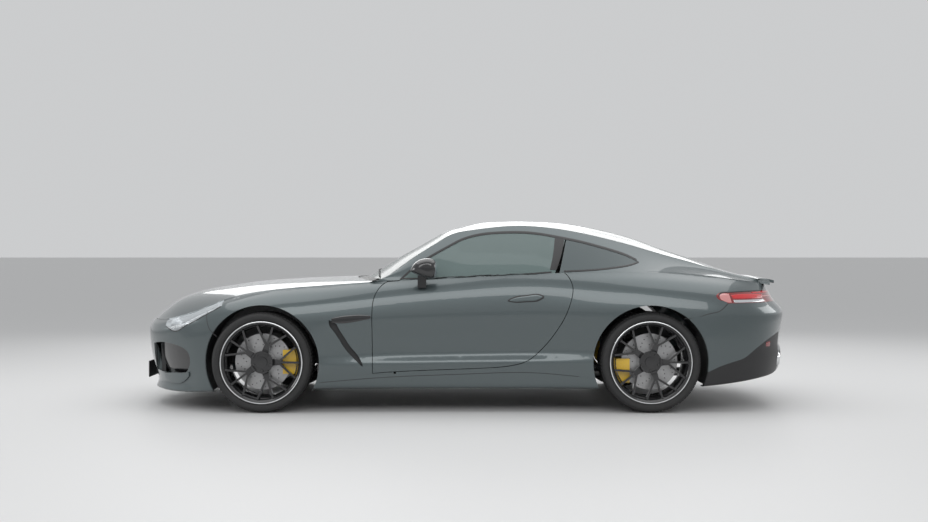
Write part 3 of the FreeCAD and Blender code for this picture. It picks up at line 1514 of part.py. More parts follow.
for i, side_sign in enumerate((-1, 1)):
    pieces.append(
        rod(
            "pipe_%d" % i, s.pipe_radius,
            (s.pipe_front - s.seam, s.pipe_offset * float(side_sign), s.pipe_height),
            s.silencer_front - s.pipe_offset - s.pipe_front + s.seam * 2, "x"
        )
    )
    pieces.append(
        rod(
            "tip_%d" % i, s.tip_radius,
            (s.silencer_rear - s.seam, s.tip_y * float(side_sign), s.tip_height),
            s.tip_rear - s.silencer_rear, "x"
        )
    )
    y0, y1 = (
        -s.silencer_half, -s.silencer_half + s.hanger_half * 2
    ) if side_sign < 0 else (s.silencer_half - s.hanger_half * 2, s.silencer_half)
    pieces.append(
        block(
            "hanger_%d" % i, s.silencer_front, s.silencer_front + s.hanger_half * 2,
            -s.pipe_offset - s.hanger_half, s.hanger_half - s.pipe_offset, s.silencer_high - s.seam,
            s.boot_floor_low
        )
    )
exhaust = fused("exhaust_solid", *pieces)
bores = [
    rod(
        "tip_bore_%d" % i, s.tip_radius - s.tip_wall,
        (s.silencer_rear + s.hanger_half, s.tip_y * float(side_sign), s.tip_height),
        s.tip_rear - s.silencer_rear, "x"
    )
    for i, side_sign in enumerate((-1, 1))
]
keep(cut_from("exhaust_system", exhaust, *bores), "exhaust_system")

seat_back_shares = [
    (-0.0254, 0.1773), (-0.0296, 0.2437), (-0.0085, 0.2954), (0.0635, 0.2843), (0.1523, 0.2696),
    (0.1777, 0.3102), (0.1988, 0.4136), (0.2200, 0.5613), (0.2369, 0.6869), (0.2411, 0.7459),
]
seat_rear_shares = [
    (0.2411, 0.7459), (0.2580, 0.7548), (0.2741, 0.7474), (0.2792, 0.7238), (0.2750, 0.5908),
    (0.2580, 0.4136), (0.2411, 0.2216), (0.2200, 0.1773),
]
headrest_shares = [
    (0.2394, 0.7275), (0.2420, 0.7976), (0.2504, 0.8456), (0.2644, 0.8567), (0.2800, 0.8479),
    (0.2851, 0.7976), (0.2792, 0.7275),
]
rear_seat_shares = [
    (0.3299, 0.2954), (0.3342, 0.3693), (0.3638, 0.4047), (0.4272, 0.3929), (0.4526, 0.4431),
    (0.4780, 0.5539), (0.4949, 0.6352), (0.5034, 0.6499), (0.5161, 0.6352), (0.5140, 0.5170),
    (0.5034, 0.3693),
]
dash_back_shares = [
    (-0.3991, 0.4431), (-0.3991, 0.6241),
]
dash_top_shares = [
    (-0.2961, 0.6241), (-0.2538, 0.6241), (-0.2327, 0.6588), (-0.2030, 0.6684), (-0.1777, 0.6536),
    (-0.1671, 0.6056), (-0.1777, 0.5318), (-0.2200, 0.4727), (-0.2707, 0.4431),
]


def upholstery(runs, y0, y1):
    face = flat_face(runs, side_place)
    face.translate(vector(0, y0, 0))
    return face.extrude(vector(0, y1 - y0, 0))


seat_runs = closed(side_shares(seat_back_shares), side_shares(seat_rear_shares))
seat = upholstery(seat_runs, -n.seat_middle - n.seat_half, -n.seat_middle + n.seat_half)
seat_foot = box(
    -0.015 * half_length, 0.2 * half_length, -n.seat_middle - n.seat_half * 0.7,
    -n.seat_middle + n.seat_half * 0.7, n.floor_high, 0.19 * height
)
headrest = upholstery(
    closed(side_shares(headrest_shares)), -n.seat_middle - n.headrest_half,
    -n.seat_middle + n.headrest_half,
)
seat = seat.fuse([seat_foot, headrest])
add("front_seats", both(whole(seat, "seat")))
bench = upholstery(closed(side_shares(rear_seat_shares)), -n.rear_seat_half, n.rear_seat_half)
bench_foot = box(
    0.345 * half_length, n.bulkhead_front, -n.rear_seat_half * 0.9, n.rear_seat_half * 0.9, n.tunnel_high,
    0.36 * height
)
under_seat = box(n.bulkhead_front - n.seam, far, -far, far, -height, n.bulkhead_high + n.seam)
add("rear_seat", whole(bench.fuse(bench_foot).cut(under_seat), "rear_seat"))
dash = upholstery(
    closed(side_shares(dash_back_shares), side_shares(dash_top_shares)), -n.dash_half, n.dash_half
)
add("dashboard", whole(dash, "dashboard"))
ring = Part.makeTorus(n.wheel_ring, n.wheel_tube)
boss = Part.makeCylinder(n.boss_radius, n.boss_depth, vector(0, 0, -n.boss_depth))
column = Part.makeCylinder(n.column_radius, n.wheel_ring * 1.2, vector(0, 0, -n.wheel_ring * 1.2))
bars = [
    Part.makeBox(n.wheel_ring, n.wheel_tube * 2, n.wheel_tube, vector(0, -n.wheel_tube, -n.wheel_tube))
    for i in range(3)
]
for i, bar in enumerate(bars):
    bar.rotate(vector(0, 0, 0), vector(0, 0, 1), (0, 120, 240)[i] + 0.0)
steering = ring.fuse([boss, column] + bars)
steering.rotate(vector(0, 0, 0), vector(0, 1, 0), 68)
steering.translate(vector(n.wheel_x, -n.seat_middle, n.wheel_z))
steering = carve(steering, dash)
add("steering_wheel", whole(steering, "steering_wheel"))

# The bonnet's hinge line, and the room that its rear corners need on the way up
sizes(
    bonnet_hinge_share=0.862, bonnet_hinge_back=45, bonnet_hinge_drop=17, lug_half=10, lug_radius=9,
    lid_pin=5,
    bonnet_lug_length=70, cheek_depth=14, notch_half=34, corner_rear=-652, corner_in=745,
)
rear_edge = bonnet_point(1.0, n.bonnet_hinge_share, n.flange + n.panel_gap)
bonnet_axis = vector(rear_edge.x + n.bonnet_hinge_back, rear_edge.y, rear_edge.z - n.bonnet_hinge_drop)
for turn in (0, 8, 20, 35, 50):
    swept = bonnet_space.copy()
    swept.rotate(bonnet_axis, vector(0, 1, 0), turn)
    fender, side = carve(fender, swept), carve(side, swept)
side = carve(side, fender)
add("front_fenders", both(whole(fender, "fender")))

# Wheel arch liners
sizes(liner_inner=622, liner_low=196, front_liner_low=150, liner_outer=930)


def liner(x, low):
    y0, y1 = -n.liner_outer, -n.liner_inner
    ring = across(x, n.arch_height, n.arch_radius + n.liner_wall, y0, y1).cut(
        across(x, n.arch_height, n.arch_radius, y0 - n.seam, y1 + n.seam)
    )
    return ring.cut(box(x - n.arch_radius * 2, x + n.arch_radius * 2, -far, far, -height, low))


def shape_of(name):
    return [node.Shape for node in nodes if node.Label == name][0]


left_panels = [whole(side, "side"), whole(fender, "fender"), whole(skirt, "skirt")]
front_liner = carve(liner(front_axle, n.front_liner_low), *left_panels, front_bumper)
rear_liner = carve(liner(rear_axle, n.liner_low), *left_panels, rear_bumper, diffuser)
add(
    "wheel_arch_liners",
    Part.Compound(
        [
            whole(part, "liner")
            for part in (front_liner, mirrored(front_liner), rear_liner, mirrored(rear_liner))
        ]
    )
)

# Door hinges: a pin in a pocket of the door, and the body's gooseneck arm that holds it
sizes(
    hinge_x=-525, hinge_y=918, hinge_pin=5, hinge_ring=11, hinge_low=305, hinge_high=625, hinge_height=40,
    pocket_gap=6, pocket_wall=16, neck_half=11, neck_inner=790, neck_outer=812,
)
left_side = whole(side, "side")
left_door = whole(door, "door")
for low in (n.hinge_low, n.hinge_high):
    high = low + n.hinge_height
    pocket = box(
        n.hinge_x - n.door_depth * 2, n.hinge_x + n.neck_half + n.pocket_gap, -n.hinge_y - n.pocket_wall,
        -n.hinge_y + n.door_depth * 2,
        low - n.pocket_gap, high + n.pocket_gap,
    )
    pin = Part.makeCylinder(
        n.hinge_pin, n.hinge_height + 4 * n.pocket_gap,
        vector(n.hinge_x, -n.hinge_y, low - 2 * n.pocket_gap)
    )
    left_door = carve(left_door, pocket).fuse(pin)
    neck = box(n.hinge_x - n.neck_half, n.hinge_x + n.neck_half, -n.hinge_y, -n.neck_inner, low, high)
    neck = neck.fuse([
        Part.makeCylinder(n.hinge_ring, n.hinge_height, vector(n.hinge_x, -n.hinge_y, low)),
        box(-0.29 * half_length, n.hinge_x + n.neck_half, -n.neck_outer, -n.neck_inner, low, high),
    ])
    neck = neck.cut(
        Part.makeCylinder(
            n.hinge_pin + n.running_gap, n.hinge_height * 2,
            vector(n.hinge_x, -n.hinge_y, low - n.hinge_height / 2)
        )
    )
    left_side = left_side.fuse(neck)
left_side = whole(left_side, "left side")
left_door = whole(left_door, "left door")
add("body_side_left", left_side)
add("body_side_right", mirrored(left_side))
add("door_left", left_door)
add("door_right", mirrored(left_door))
add("door_glass_left", whole(pane, "pane"))
add("door_glass_right", mirrored(whole(pane, "pane")))

# Door mirrors: a housing through outlines that stand side by side, on a foot at the belt
sizes(
    mirror_in=896, mirror_out=1058, mirror_foot_front=-322, mirror_foot_rear=-262, mirror_foot_low=868,
    mirror_foot_high=975,
    mirror_foot_in=866, mirror_foot_out=935,
)
mirror_shares = [
    (-0.1557, 0.7326), (-0.1481, 0.7592), (-0.1345, 0.7799), (-0.1142, 0.7910), (-0.0939, 0.7888),
    (-0.0829, 0.7755), (-0.0778, 0.7518), (-0.0787, 0.7201), (-0.0863, 0.6928), (-0.1036, 0.6898),
    (-0.1269, 0.7016), (-0.1459, 0.7149),
]
mirror_stations = (0.0, 0.50), (
    0.12, 0.78
), (0.34, 0.96), (0.62, 1.0), (0.84, 0.86), (0.96, 0.60), (1.0, 0.34)
mirror_middle = -0.1090, 0.7460


def mirror_outline(share, size):
    """The housing's outline at one station, drawn in towards its rear middle."""
    y = -n.mirror_in - (n.mirror_out - n.mirror_in) * share
    points = []
    for x, z in mirror_shares:
        x = mirror_middle[0] + (x - mirror_middle[0]) * size
        z = mirror_middle[1] + (z - mirror_middle[1]) * size
        points.append(vector(x * half_length, y, z * height))
    curve = Part.BSplineCurve()
    curve.interpolate(points, PeriodicFlag=True)
    return Part.Wire(curve.toShape())


housing = Part.makeLoft([mirror_outline(*station) for station in mirror_stations], True)
foot = box(
    n.mirror_foot_front, n.mirror_foot_rear, -n.mirror_foot_out, -n.mirror_foot_in, n.mirror_foot_low,
    n.mirror_foot_high
)
door_mirror = carve(housing.fuse(foot), left_door, pane)
add("door_mirror_left", whole(door_mirror, "mirror"))
add("door_mirror_right", mirrored(whole(door_mirror, "mirror")))

# Bonnet hinges, on the cowl shelf behind the bonnet's rear edge
doc.recompute()
floor_shape = hollow_floor.Shape
for side_sign in (-1, 1):
    y = bonnet_axis.y * side_sign
    x, z = bonnet_axis.x, bonnet_axis.z
    lug = box(
        x - n.bonnet_hinge_back - n.bonnet_lug_length, x, y - n.lug_half, y + n.lug_half,
        z - n.lug_radius * 0.9, z + n.lug_radius * 0.9
    )
    lug = lug.fuse(across(x, z, n.lug_radius, y - n.lug_half, y + n.lug_half))
    lug = lug.cut(across(x, z, n.lid_pin + n.running_gap, y - n.lug_half * 2, y + n.lug_half * 2))
    bonnet = bonnet.fuse(lug)
    cheek_near = y + side_sign * (n.lug_half + n.running_gap * 2)
    cheek_far = cheek_near + side_sign * n.cheek_depth
    cheek = box(
        x - n.lug_radius, x + n.lug_radius, min(cheek_near, cheek_far), max(cheek_near, cheek_far),
        n.shelf_low, z + n.lug_radius
    )
    pin = across(x, z, n.lid_pin, min(y - n.lug_half, cheek_far), max(y + n.lug_half, cheek_far))
    shelf_lip = box(
        n.shelf_rear - n.notch_half, x + n.notch_half / 2, y - n.notch_half, y + n.notch_half, n.shelf_low,
        n.firewall_high
    )
    floor_shape = floor_shape.fuse([cheek, pin, shelf_lip])
    cowl = carve(
        cowl, box(x - n.notch_half * 2, x + n.lug_radius * 2, y - n.notch_half, y + n.notch_half, 0, height)
    )
bonnet = whole(bonnet, "bonnet")
bonnet = carve(
    bonnet, *[box(n.corner_rear, 0, y, y + far, 0, height) for y in (n.corner_in, -n.corner_in - far)]
)

# Tailgate hinges, in two slots of the roof's rear edge
sizes(
    gate_hinge_share=0.3, gate_hinge_ahead=40, gate_hinge_drop=12, slot_half=16, slot_length=60,
    gate_lug_length=84
)
edge = roof_point(n.roof_rear, n.gate_hinge_share)
gate_axis = vector(n.roof_rear - n.gate_hinge_ahead, edge.y, edge.z - n.gate_hinge_drop)
for side_sign in (-1, 1):
    x, y, z = gate_axis.x, gate_axis.y * side_sign, gate_axis.z
    slot = box(
        n.roof_rear - n.slot_length, n.roof_rear + n.slot_length, y - n.slot_half, y + n.slot_half, 0,
        2 * height
    )
    pin = across(x, z, n.lid_pin, y - n.slot_half * 1.5, y + n.slot_half * 1.5)
    roof = carve(roof, slot).fuse(pin)
    lug = box(
        x, x + n.gate_lug_length, y - n.lug_half, y + n.lug_half, z - n.lug_radius * 0.7,
        z + n.lug_radius * 0.7
    )
    lug = lug.fuse(across(x, z, n.lug_radius, y - n.lug_half, y + n.lug_half))
    lug = lug.cut(across(x, z, n.lid_pin + n.running_gap, y - n.lug_half * 2, y + n.lug_half * 2))
    gate = gate.fuse(lug)
add("roof_panel", whole(roof, "roof"))
add("tailgate", whole(gate, "tailgate"))
add("bonnet", whole(bonnet, "bonnet"))
add("cowl_panel", whole(cowl, "cowl"))
panels = [left_side, mirrored(left_side)] + [shape_of(name) for name in (
    "front_bumper", "front_grille", "front_fenders", "side_skirts", "rear_bumper", "rear_diffuser",
    "tail_lamps",
)]
floor_pieces = carve(floor_shape, *panels).Solids
add("floor_pan", max(floor_pieces, key=lambda solid: solid.Volume))
print("bonnet axis", bonnet_axis, "gate axis", gate_axis)

doc.recompute()
faults = []
for item in doc.Objects:
    if "Invalid" in item.State or "Error" in item.State:
        faults.append(item.Label)
for node in nodes:
    if node.Shape.isNull() or not node.Shape.isValid() or not node.Shape.Solids:
        faults.append(node.Label)
if faults:
    print("FAULTS", faults)
os.makedirs("parts", exist_ok=True)
for node in nodes:
    node.Shape.exportStep("parts/%s.step" % node.Label)
print(len(nodes), "parts")
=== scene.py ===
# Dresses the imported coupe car: panels, glass, wheels, lamps, trim and cabin. Lengths are in metres.
import bpy
import json
import math
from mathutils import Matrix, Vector

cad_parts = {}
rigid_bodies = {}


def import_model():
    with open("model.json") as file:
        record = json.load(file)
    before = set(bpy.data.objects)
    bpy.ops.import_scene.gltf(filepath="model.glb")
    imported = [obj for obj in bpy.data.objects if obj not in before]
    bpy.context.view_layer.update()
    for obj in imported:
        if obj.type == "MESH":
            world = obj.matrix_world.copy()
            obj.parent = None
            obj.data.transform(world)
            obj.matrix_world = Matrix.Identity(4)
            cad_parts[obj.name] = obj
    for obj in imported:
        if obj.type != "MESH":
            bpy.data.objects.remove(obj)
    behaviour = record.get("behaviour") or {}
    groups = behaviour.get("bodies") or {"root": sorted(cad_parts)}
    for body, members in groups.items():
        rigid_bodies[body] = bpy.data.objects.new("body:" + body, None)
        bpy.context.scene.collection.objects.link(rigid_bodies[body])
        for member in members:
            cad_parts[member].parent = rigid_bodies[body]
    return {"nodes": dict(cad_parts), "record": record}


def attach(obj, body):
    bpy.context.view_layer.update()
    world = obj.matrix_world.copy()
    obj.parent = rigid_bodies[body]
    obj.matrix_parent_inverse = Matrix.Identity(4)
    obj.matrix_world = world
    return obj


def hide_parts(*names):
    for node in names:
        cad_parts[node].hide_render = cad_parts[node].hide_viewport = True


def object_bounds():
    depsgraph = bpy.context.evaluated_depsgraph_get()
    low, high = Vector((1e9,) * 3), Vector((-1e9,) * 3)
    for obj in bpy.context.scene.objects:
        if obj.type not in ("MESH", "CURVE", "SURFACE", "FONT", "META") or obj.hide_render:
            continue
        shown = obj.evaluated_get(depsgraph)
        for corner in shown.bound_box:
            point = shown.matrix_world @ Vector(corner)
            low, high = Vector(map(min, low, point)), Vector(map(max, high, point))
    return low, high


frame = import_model()
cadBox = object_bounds()
bodyOf = {node: body for body, nodes in frame["record"]["behaviour"]["bodies"].items() for node in nodes}


def alone(*objects):
    if bpy.context.object and bpy.context.object.mode != "OBJECT":
        bpy.ops.object.mode_set(mode="OBJECT")
    bpy.ops.object.select_all(action="DESELECT")
    for item in objects:
        item.select_set(True)
    bpy.context.view_layer.objects.active = objects[-1]


def editMode(action="SELECT"):
    bpy.ops.object.mode_set(mode="EDIT")
    bpy.ops.mesh.select_all(action=action)


def objectMode():
    bpy.ops.object.mode_set(mode="OBJECT")


def applied(item, kind, **settings):
    alone(item)
    modifier = item.modifiers.new(kind, kind)
    for key, value in settings.items():
        setattr(modifier, key, value)
    bpy.ops.object.modifier_apply(modifier=modifier.name)
    return item


# Shader maths, written as expressions
class Wire:
    def __init__(self, shader, socket):
        self.shader, self.socket = shader, socket

    def math(self, operation, other):
        return self.shader.node("ShaderNodeMath", {"operation": operation}, {0: self, 1: other})

    def __add__(self, other):
        return self.math("ADD", other)

    def __mul__(self, other):
        return self.math("MULTIPLY", other)

    def __sub__(self, other):
        return self.math("SUBTRACT", other)


class Shader:
    def __init__(self, name, **sockets):
        self.material = bpy.data.materials.new(name)
        self.material.use_nodes = True
        self.tree = self.material.node_tree
        self.tree.nodes.clear()
        self.surface = self.node("ShaderNodeBsdfPrincipled", {}, {}).socket.node
        output = self.tree.nodes.new("ShaderNodeOutputMaterial")
        self.tree.links.new(self.surface.outputs[0], output.inputs[0])
        self.place = self.node("ShaderNodeTexCoord", {}, {}, "Object")
        for key, value in sockets.items():
            self.set(key, value)

    def node(self, kind, settings, inputs, out=0):
        node = self.tree.nodes.new(kind)
        for key, value in settings.items():
            setattr(node, key, value)
        for key, value in inputs.items():
            if isinstance(value, Wire):
                self.tree.links.new(value.socket, node.inputs[key])
            else:
                node.inputs[key].default_value = value
        return Wire(self, node.outputs[out])

    def set(self, key, value):
        socket = self.surface.inputs[key.replace("_", " ")]
        if isinstance(value, Wire):
            self.tree.links.new(value.socket, socket)
        elif isinstance(value, tuple) and len(value) == 3:
            socket.default_value = (*value, 1)
        else:
            socket.default_value = value
        return self

    def noise(self, scale, detail=2.0, stretch=(1, 1, 1)):
        place = self.node("ShaderNodeMapping", {}, {"Vector": self.place, "Scale": stretch})
        return self.node("ShaderNodeTexNoise", {}, {"Vector": place, "Scale": scale, "Detail": detail})

    def cells(self, scale):
        return self.node("ShaderNodeTexVoronoi", {}, {"Vector": self.place, "Scale": scale})

    def mix(self, share, first, second):
        return self.node(
            "ShaderNodeMix", {"data_type": "RGBA"}, {0: share, 6: (*first, 1), 7: (*second, 1)}, 2
        )

    def bump(self, height, distance, strength=0.6):
        inputs = {"Height": height, "Distance": distance, "Strength": strength}
        return self.set("Normal", self.node("ShaderNodeBump", {}, inputs))


# Scales are in repeats per metre, shares are of the grain or of the whole
coat = {"flakes": 1400.0, "flakeShare": 0.9, "mottle": 900.0, "roughness": 0.30, "spread": 0.10}
grains = {"shade": 0.35, "shadeDetail": 3.0, "shine": 0.5, "spread": 0.16, "detail": 4.0}
pane = {"edgeCover": 0.9, "blend": 0.25}


def coatedPaint(name, color, flake):
    paint = Shader(name, Metallic=0.55, Roughness=0.36, Coat_Weight=1.0, Coat_Roughness=0.025, IOR=1.45)
    paint.set("Base Color", paint.mix(paint.cells(coat["flakes"]) * coat["flakeShare"], color, flake))
    paint.set("Roughness", paint.noise(coat["mottle"]) * coat["spread"] + coat["roughness"])
    return paint


def plainly(name, color, shade, roughness, grain, depth, **sockets):
    finish = Shader(name, **sockets)
    mottle = finish.noise(grain * grains["shade"], grains["shadeDetail"])
    finish.set("Base Color", finish.mix(mottle, color, shade))
    shine = finish.noise(grain * grains["shine"]) * grains["spread"]
    finish.set("Roughness", shine + roughness - grains["spread"] / 2)
    return finish.bump(finish.noise(grain, grains["detail"]), depth)


def glassy(name, tint, cover, roughness=0.02):
    glass = Shader(name, Base_Color=tint, Roughness=roughness, IOR=1.5, Coat_Weight=0.0)
    facing = glass.node("ShaderNodeLayerWeight", {}, {"Blend": pane["blend"]}, "Facing")
    return glass.set("Alpha", facing * (pane["edgeCover"] - cover) + cover)


finishes = {
    "paint": coatedPaint("slate paint", (0.060, 0.078, 0.082), (0.100, 0.124, 0.129)),
    "blackGloss": plainly(
        "gloss black", (0.006, 0.006, 0.007), (0.011, 0.011, 0.012), 0.14, 700.0, 0.00002, Coat_Weight=0.8,
        Coat_Roughness=0.04
    ),
    "blackSatin": plainly(
        "satin black", (0.012, 0.012, 0.013), (0.022, 0.022, 0.023), 0.42, 900.0, 0.00006
    ),
    "blackMoulded": plainly(
        "moulded black", (0.020, 0.020, 0.021), (0.034, 0.034, 0.035), 0.62, 1100.0, 0.0002
    ),
    "glazing": glassy("tinted glass", (0.075, 0.099, 0.093), 0.72, 0.14),
    # Door glass: a green tint, with the pale green-grey of its reflection painted into the cover colour
    "doorGlazing": glassy("green tinted glass", (0.150, 0.200, 0.195), 0.70),
    "quarterGlazing": glassy("dark glass", (0.070, 0.092, 0.096), 0.88),
    "lensCover": glassy("clear cover", (0.80, 0.85, 0.88), 0.10),
    "silver": plainly(
        "silver reflector", (0.62, 0.64, 0.66), (0.74, 0.76, 0.78), 0.20, 400.0, 0.00002, Metallic=0.9
    ),
    "whiteLight": Shader(
        "white light guide", Base_Color=(0.85, 0.88, 0.9), Roughness=0.25, Emission_Color=(0.9, 0.95, 1.0),
        Emission_Strength=0.35
    ),
    "brightTrim": plainly(
        "bright trim", (0.70, 0.71, 0.72), (0.80, 0.81, 0.82), 0.13, 500.0, 0.00001, Metallic=1.0
    ),
    "brushed": plainly(
        "brushed steel", (0.40, 0.40, 0.40), (0.55, 0.55, 0.54), 0.32, 260.0, 0.00005, Metallic=1.0
    ),
    "castMetal": plainly(
        "cast alloy", (0.22, 0.225, 0.23), (0.34, 0.34, 0.345), 0.52, 420.0, 0.0004, Metallic=0.75
    ),
    "chassis": plainly(
        "underbody coating", (0.020, 0.021, 0.022), (0.038, 0.039, 0.040), 0.60, 260.0, 0.0006
    ),
    "leather": plainly("black leather", (0.020, 0.019, 0.019), (0.034, 0.033, 0.032), 0.46, 950.0, 0.0004),
    "carpet": plainly("black carpet", (0.012, 0.012, 0.013), (0.030, 0.030, 0.031), 0.95, 1600.0, 0.0015),
    "lining": plainly("grey headlining", (0.20, 0.20, 0.20), (0.27, 0.27, 0.27), 0.92, 1400.0, 0.0008),
    "caliper": plainly(
        "yellow caliper", (0.72, 0.44, 0.02), (0.80, 0.52, 0.04), 0.26, 500.0, 0.00008, Coat_Weight=0.6
    ),
    "wheelBlack": plainly(
        "wheel black", (0.010, 0.010, 0.011), (0.018, 0.018, 0.019), 0.24, 700.0, 0.00003, Coat_Weight=0.7,
        Coat_Roughness=0.08, Metallic=0.2
    ),
    "redLens": plainly(
        "smoked red lens", (0.16, 0.010, 0.012), (0.22, 0.016, 0.016), 0.10, 300.0, 0.00002, Coat_Weight=1.0
    ),
    "redLight": plainly(
        "red light bar", (0.46, 0.006, 0.010), (0.56, 0.012, 0.016), 0.14, 300.0, 0.00002, Coat_Weight=1.0
    ),
    "paleRed": plainly(
        "pale red lens", (0.52, 0.20, 0.20), (0.60, 0.27, 0.26), 0.16, 300.0, 0.00002, Coat_Weight=1.0
    ),
    "plate": plainly("blank plate", (0.60, 0.61, 0.60), (0.68, 0.69, 0.68), 0.35, 300.0, 0.00003),
    "mirrorGlass": Shader("mirror glass", Base_Color=(0.75, 0.78, 0.8), Metallic=1.0, Roughness=0.03),
    "screen": plainly(
        "dark screen", (0.004, 0.005, 0.007), (0.008, 0.009, 0.012), 0.08, 200.0, 0.00001, Coat_Weight=1.0
    ),
}
tread = Shader("tyre rubber", Roughness=0.72)
tread.set("Base Color", tread.mix(tread.noise(60.0, 5.0), (0.014, 0.014, 0.0145), (0.026, 0.026, 0.026)))
tread.set("Roughness", tread.noise(180.0) * 0.25 + 0.60)
tread.bump(tread.noise(1500.0, 3.0), 0.00025)
finishes["rubber"] = tread
disc = Shader("turned iron", Metallic=1.0)
disc.set("Base Color", disc.mix(disc.noise(90.0, 3.0), (0.30, 0.30, 0.305), (0.42, 0.42, 0.42)))
disc.set("Roughness", disc.noise(700.0, 2.0, (1, 0.05, 1)) * 0.2 + 0.28)
disc.bump(disc.noise(900.0, 2.0), 0.00006)
finishes["disc"] = disc
print("materials", len(finishes))


def paintAs(item, finish):
    item.data.materials.clear()
    item.data.materials.append(finishes[finish].material)
    return item


# Each node's own finish; the other nodes go by the first word of the name, or are painted
nodesIn = {
    "chassis": ("floor_pan",),
    "castMetal": (
        "engine_block", "front_suspension", "rear_suspension", "knuckle_front_left", "knuckle_front_right",
    ),
    "blackMoulded": ("wheel_arch_liners", "dashboard"),
    "brushed": ("exhaust_system",),
    "leather": ("steering_wheel", "front_seats", "rear_seat"),
    "silver": ("headlamp_units",),
    "caliper": ("rear_calipers", "caliper_front_left", "caliper_front_right"),
    "blackGloss": ("front_grille",),
    "blackSatin": ("cowl_panel",),
}
nodeFinish = {node: finish for finish, nodes in nodesIn.items() for node in nodes}
kindFinish = {"tyre": "rubber", "rim": "wheelBlack", "brake": "disc"}
for name, item in frame["nodes"].items():
    paintAs(item, nodeFinish.get(name) or kindFinish.get(name.split("_")[0], "paint"))


# Smooth surfaces of the body, from which the glossy panels take their shading
def spline(knots, values):
    count = len(knots)
    gaps = [knots[i + 1] - knots[i] for i in range(count - 1)]
    slopes = [(values[i + 1] - values[i]) / gaps[i] for i in range(count - 1)]
    above, right, bends = [0.0] * count, [0.0] * count, [0.0] * count
    for i in range(1, count - 1):
        pivot = 2 * (gaps[i - 1] + gaps[i]) - gaps[i - 1] * above[i - 1]
        above[i] = gaps[i] / pivot
        right[i] = (6 * (slopes[i] - slopes[i - 1]) - gaps[i - 1] * right[i - 1]) / pivot
    for i in range(count - 2, 0, -1):
        bends[i] = right[i] - above[i] * bends[i + 1]

    def at(t):
        i = 0
        while i < count - 2 and t > knots[i + 1]:
            i += 1
        t = min(max(t, knots[0]), knots[-1])
        a, b, step = knots[i + 1] - t, t - knots[i], gaps[i]
        curved = (bends[i] * a ** 3 + bends[i + 1] * b ** 3) / (6 * step)
        first = (values[i] / step - bends[i] * step / 6) * a
        second = (values[i + 1] / step - bends[i + 1] * step / 6) * b
        return curved + first + second
    return at


# A curve through values at even steps that doesn't rise above or fall below them
def rising(values):
    last = len(values) - 1
    slopes = [values[i + 1] - values[i] for i in range(last)]
    tangents = [slopes[0]] + [0.0] * (last - 1) + [slopes[-1]]
    for i in range(1, last):
        if slopes[i - 1] * slopes[i] > 0:
            tangents[i] = 2 / (1 / slopes[i - 1] + 1 / slopes[i])

    def at(t):
        i = min(max(int(t), 0), last - 1)
        u = min(max(t - i, 0.0), 1.0)
        return (values[i] * (1 + 2 * u) * (1 - u) ** 2 + tangents[i] * u * (1 - u) ** 2
                + values[i + 1] * u * u * (3 - 2 * u) + tangents[i + 1] * u * u * (u - 1))
    return at


# Powers shape the plan outline's corners; steps count a surface's rows and points
car = {
    "halfLength": 2.364, "halfWidth": 0.992, "height": 1.354, "frontAxle": -1.404, "rearAxle": 1.296,
    "wheelHeight": 0.35, "frontTrack": 0.830, "rearTrack": 0.828, "nosePower": 2.5, "tailPower": 3.2,
    "crownPower": 2.2, "outlineSteps": 160, "beltSteps": 400, "sideSteps": 420, "sidePoints": 64,
    "middle": 0.4, "pastEnd": 0.02, "spread": 0.012,
}
halfLength, halfWidth, height = car["halfLength"], car["halfWidth"], car["height"]
sideWidths = [
    (-0.5499, 0.9919), (-0.4230, 0.9758), (-0.2538, 0.9536), (-0.0846, 0.9435), (0.0846, 0.9415),
    (0.2538, 0.9496), (0.3807, 0.9728), (0.5482, 1.0000), (0.5711, 1.0000),
]
sectionShares = [
    ("nose", 0.000, 0.0900, 0.4580, [.065, .050, .064, .054, .039, .019, .004, .000, .009, .034]),
    ("nose", 0.353, 0.0900, 0.4590, [.065, .050, .064, .054, .039, .019, .004, .000, .011, .038]),
    ("nose", 0.620, 0.0930, 0.4670, [.062, .048, .060, .052, .038, .021, .008, .004, .022, .066]),
    ("nose", 0.860, 0.0960, 0.5180, [.055, .040, .044, .038, .028, .018, .007, .007, .048, .125]),
    ("side", -0.740, 0.1030, 0.5740, [.070, .030, .020, .014, .010, .004, .000, .014, .072, .178]),
    ("side", -0.594, 0.1110, 0.6240, [.080, .030, .014, .008, .004, .000, .002, .022, .088, .183]),
    ("side", -0.444, 0.1160, 0.6480, [.080, .030, .014, .008, .008, .005, .002, .020, .080, .172]),
    ("side", -0.275, 0.1180, 0.6690, [.076, .026, .012, .006, .024, .020, .002, .016, .058, .138]),
    ("side", 0.000, 0.1180, 0.6970, [.076, .020, .010, .004, .030, .020, .000, .010, .038, .080]),
    ("side", 0.254, 0.1180, 0.7140, [.076, .020, .010, .005, .028, .018, .000, .011, .040, .083]),
    ("side", 0.410, 0.1190, 0.7190, [.080, .025, .014, .006, .012, .008, .000, .020, .066, .132]),
    ("side", 0.548, 0.1220, 0.7180, [.085, .030, .014, .006, .004, .002, .000, .026, .089, .183]),
    ("side", 0.677, 0.1290, 0.7050, [.085, .030, .016, .008, .004, .000, .002, .034, .108, .217]),
    ("side", 0.804, 0.1480, 0.6830, [.080, .040, .030, .020, .012, .004, .002, .037, .110, .200]),
    ("tail", 0.800, 0.1700, 0.6630, [.076, .045, .030, .020, .020, .010, .002, .055, .110, .150]),
    ("tail", 0.450, 0.1820, 0.6670, [.084, .054, .026, .016, .034, .019, .004, .080, .120, .140]),
    ("tail", 0.000, 0.1840, 0.6680, [.084, .054, .024, .014, .034, .019, .004, .085, .126, .140]),
]
levels = [0.0, 0.02, 0.12, 0.235, 0.325, 0.47, 0.66, 0.815, 0.925, 1.0]
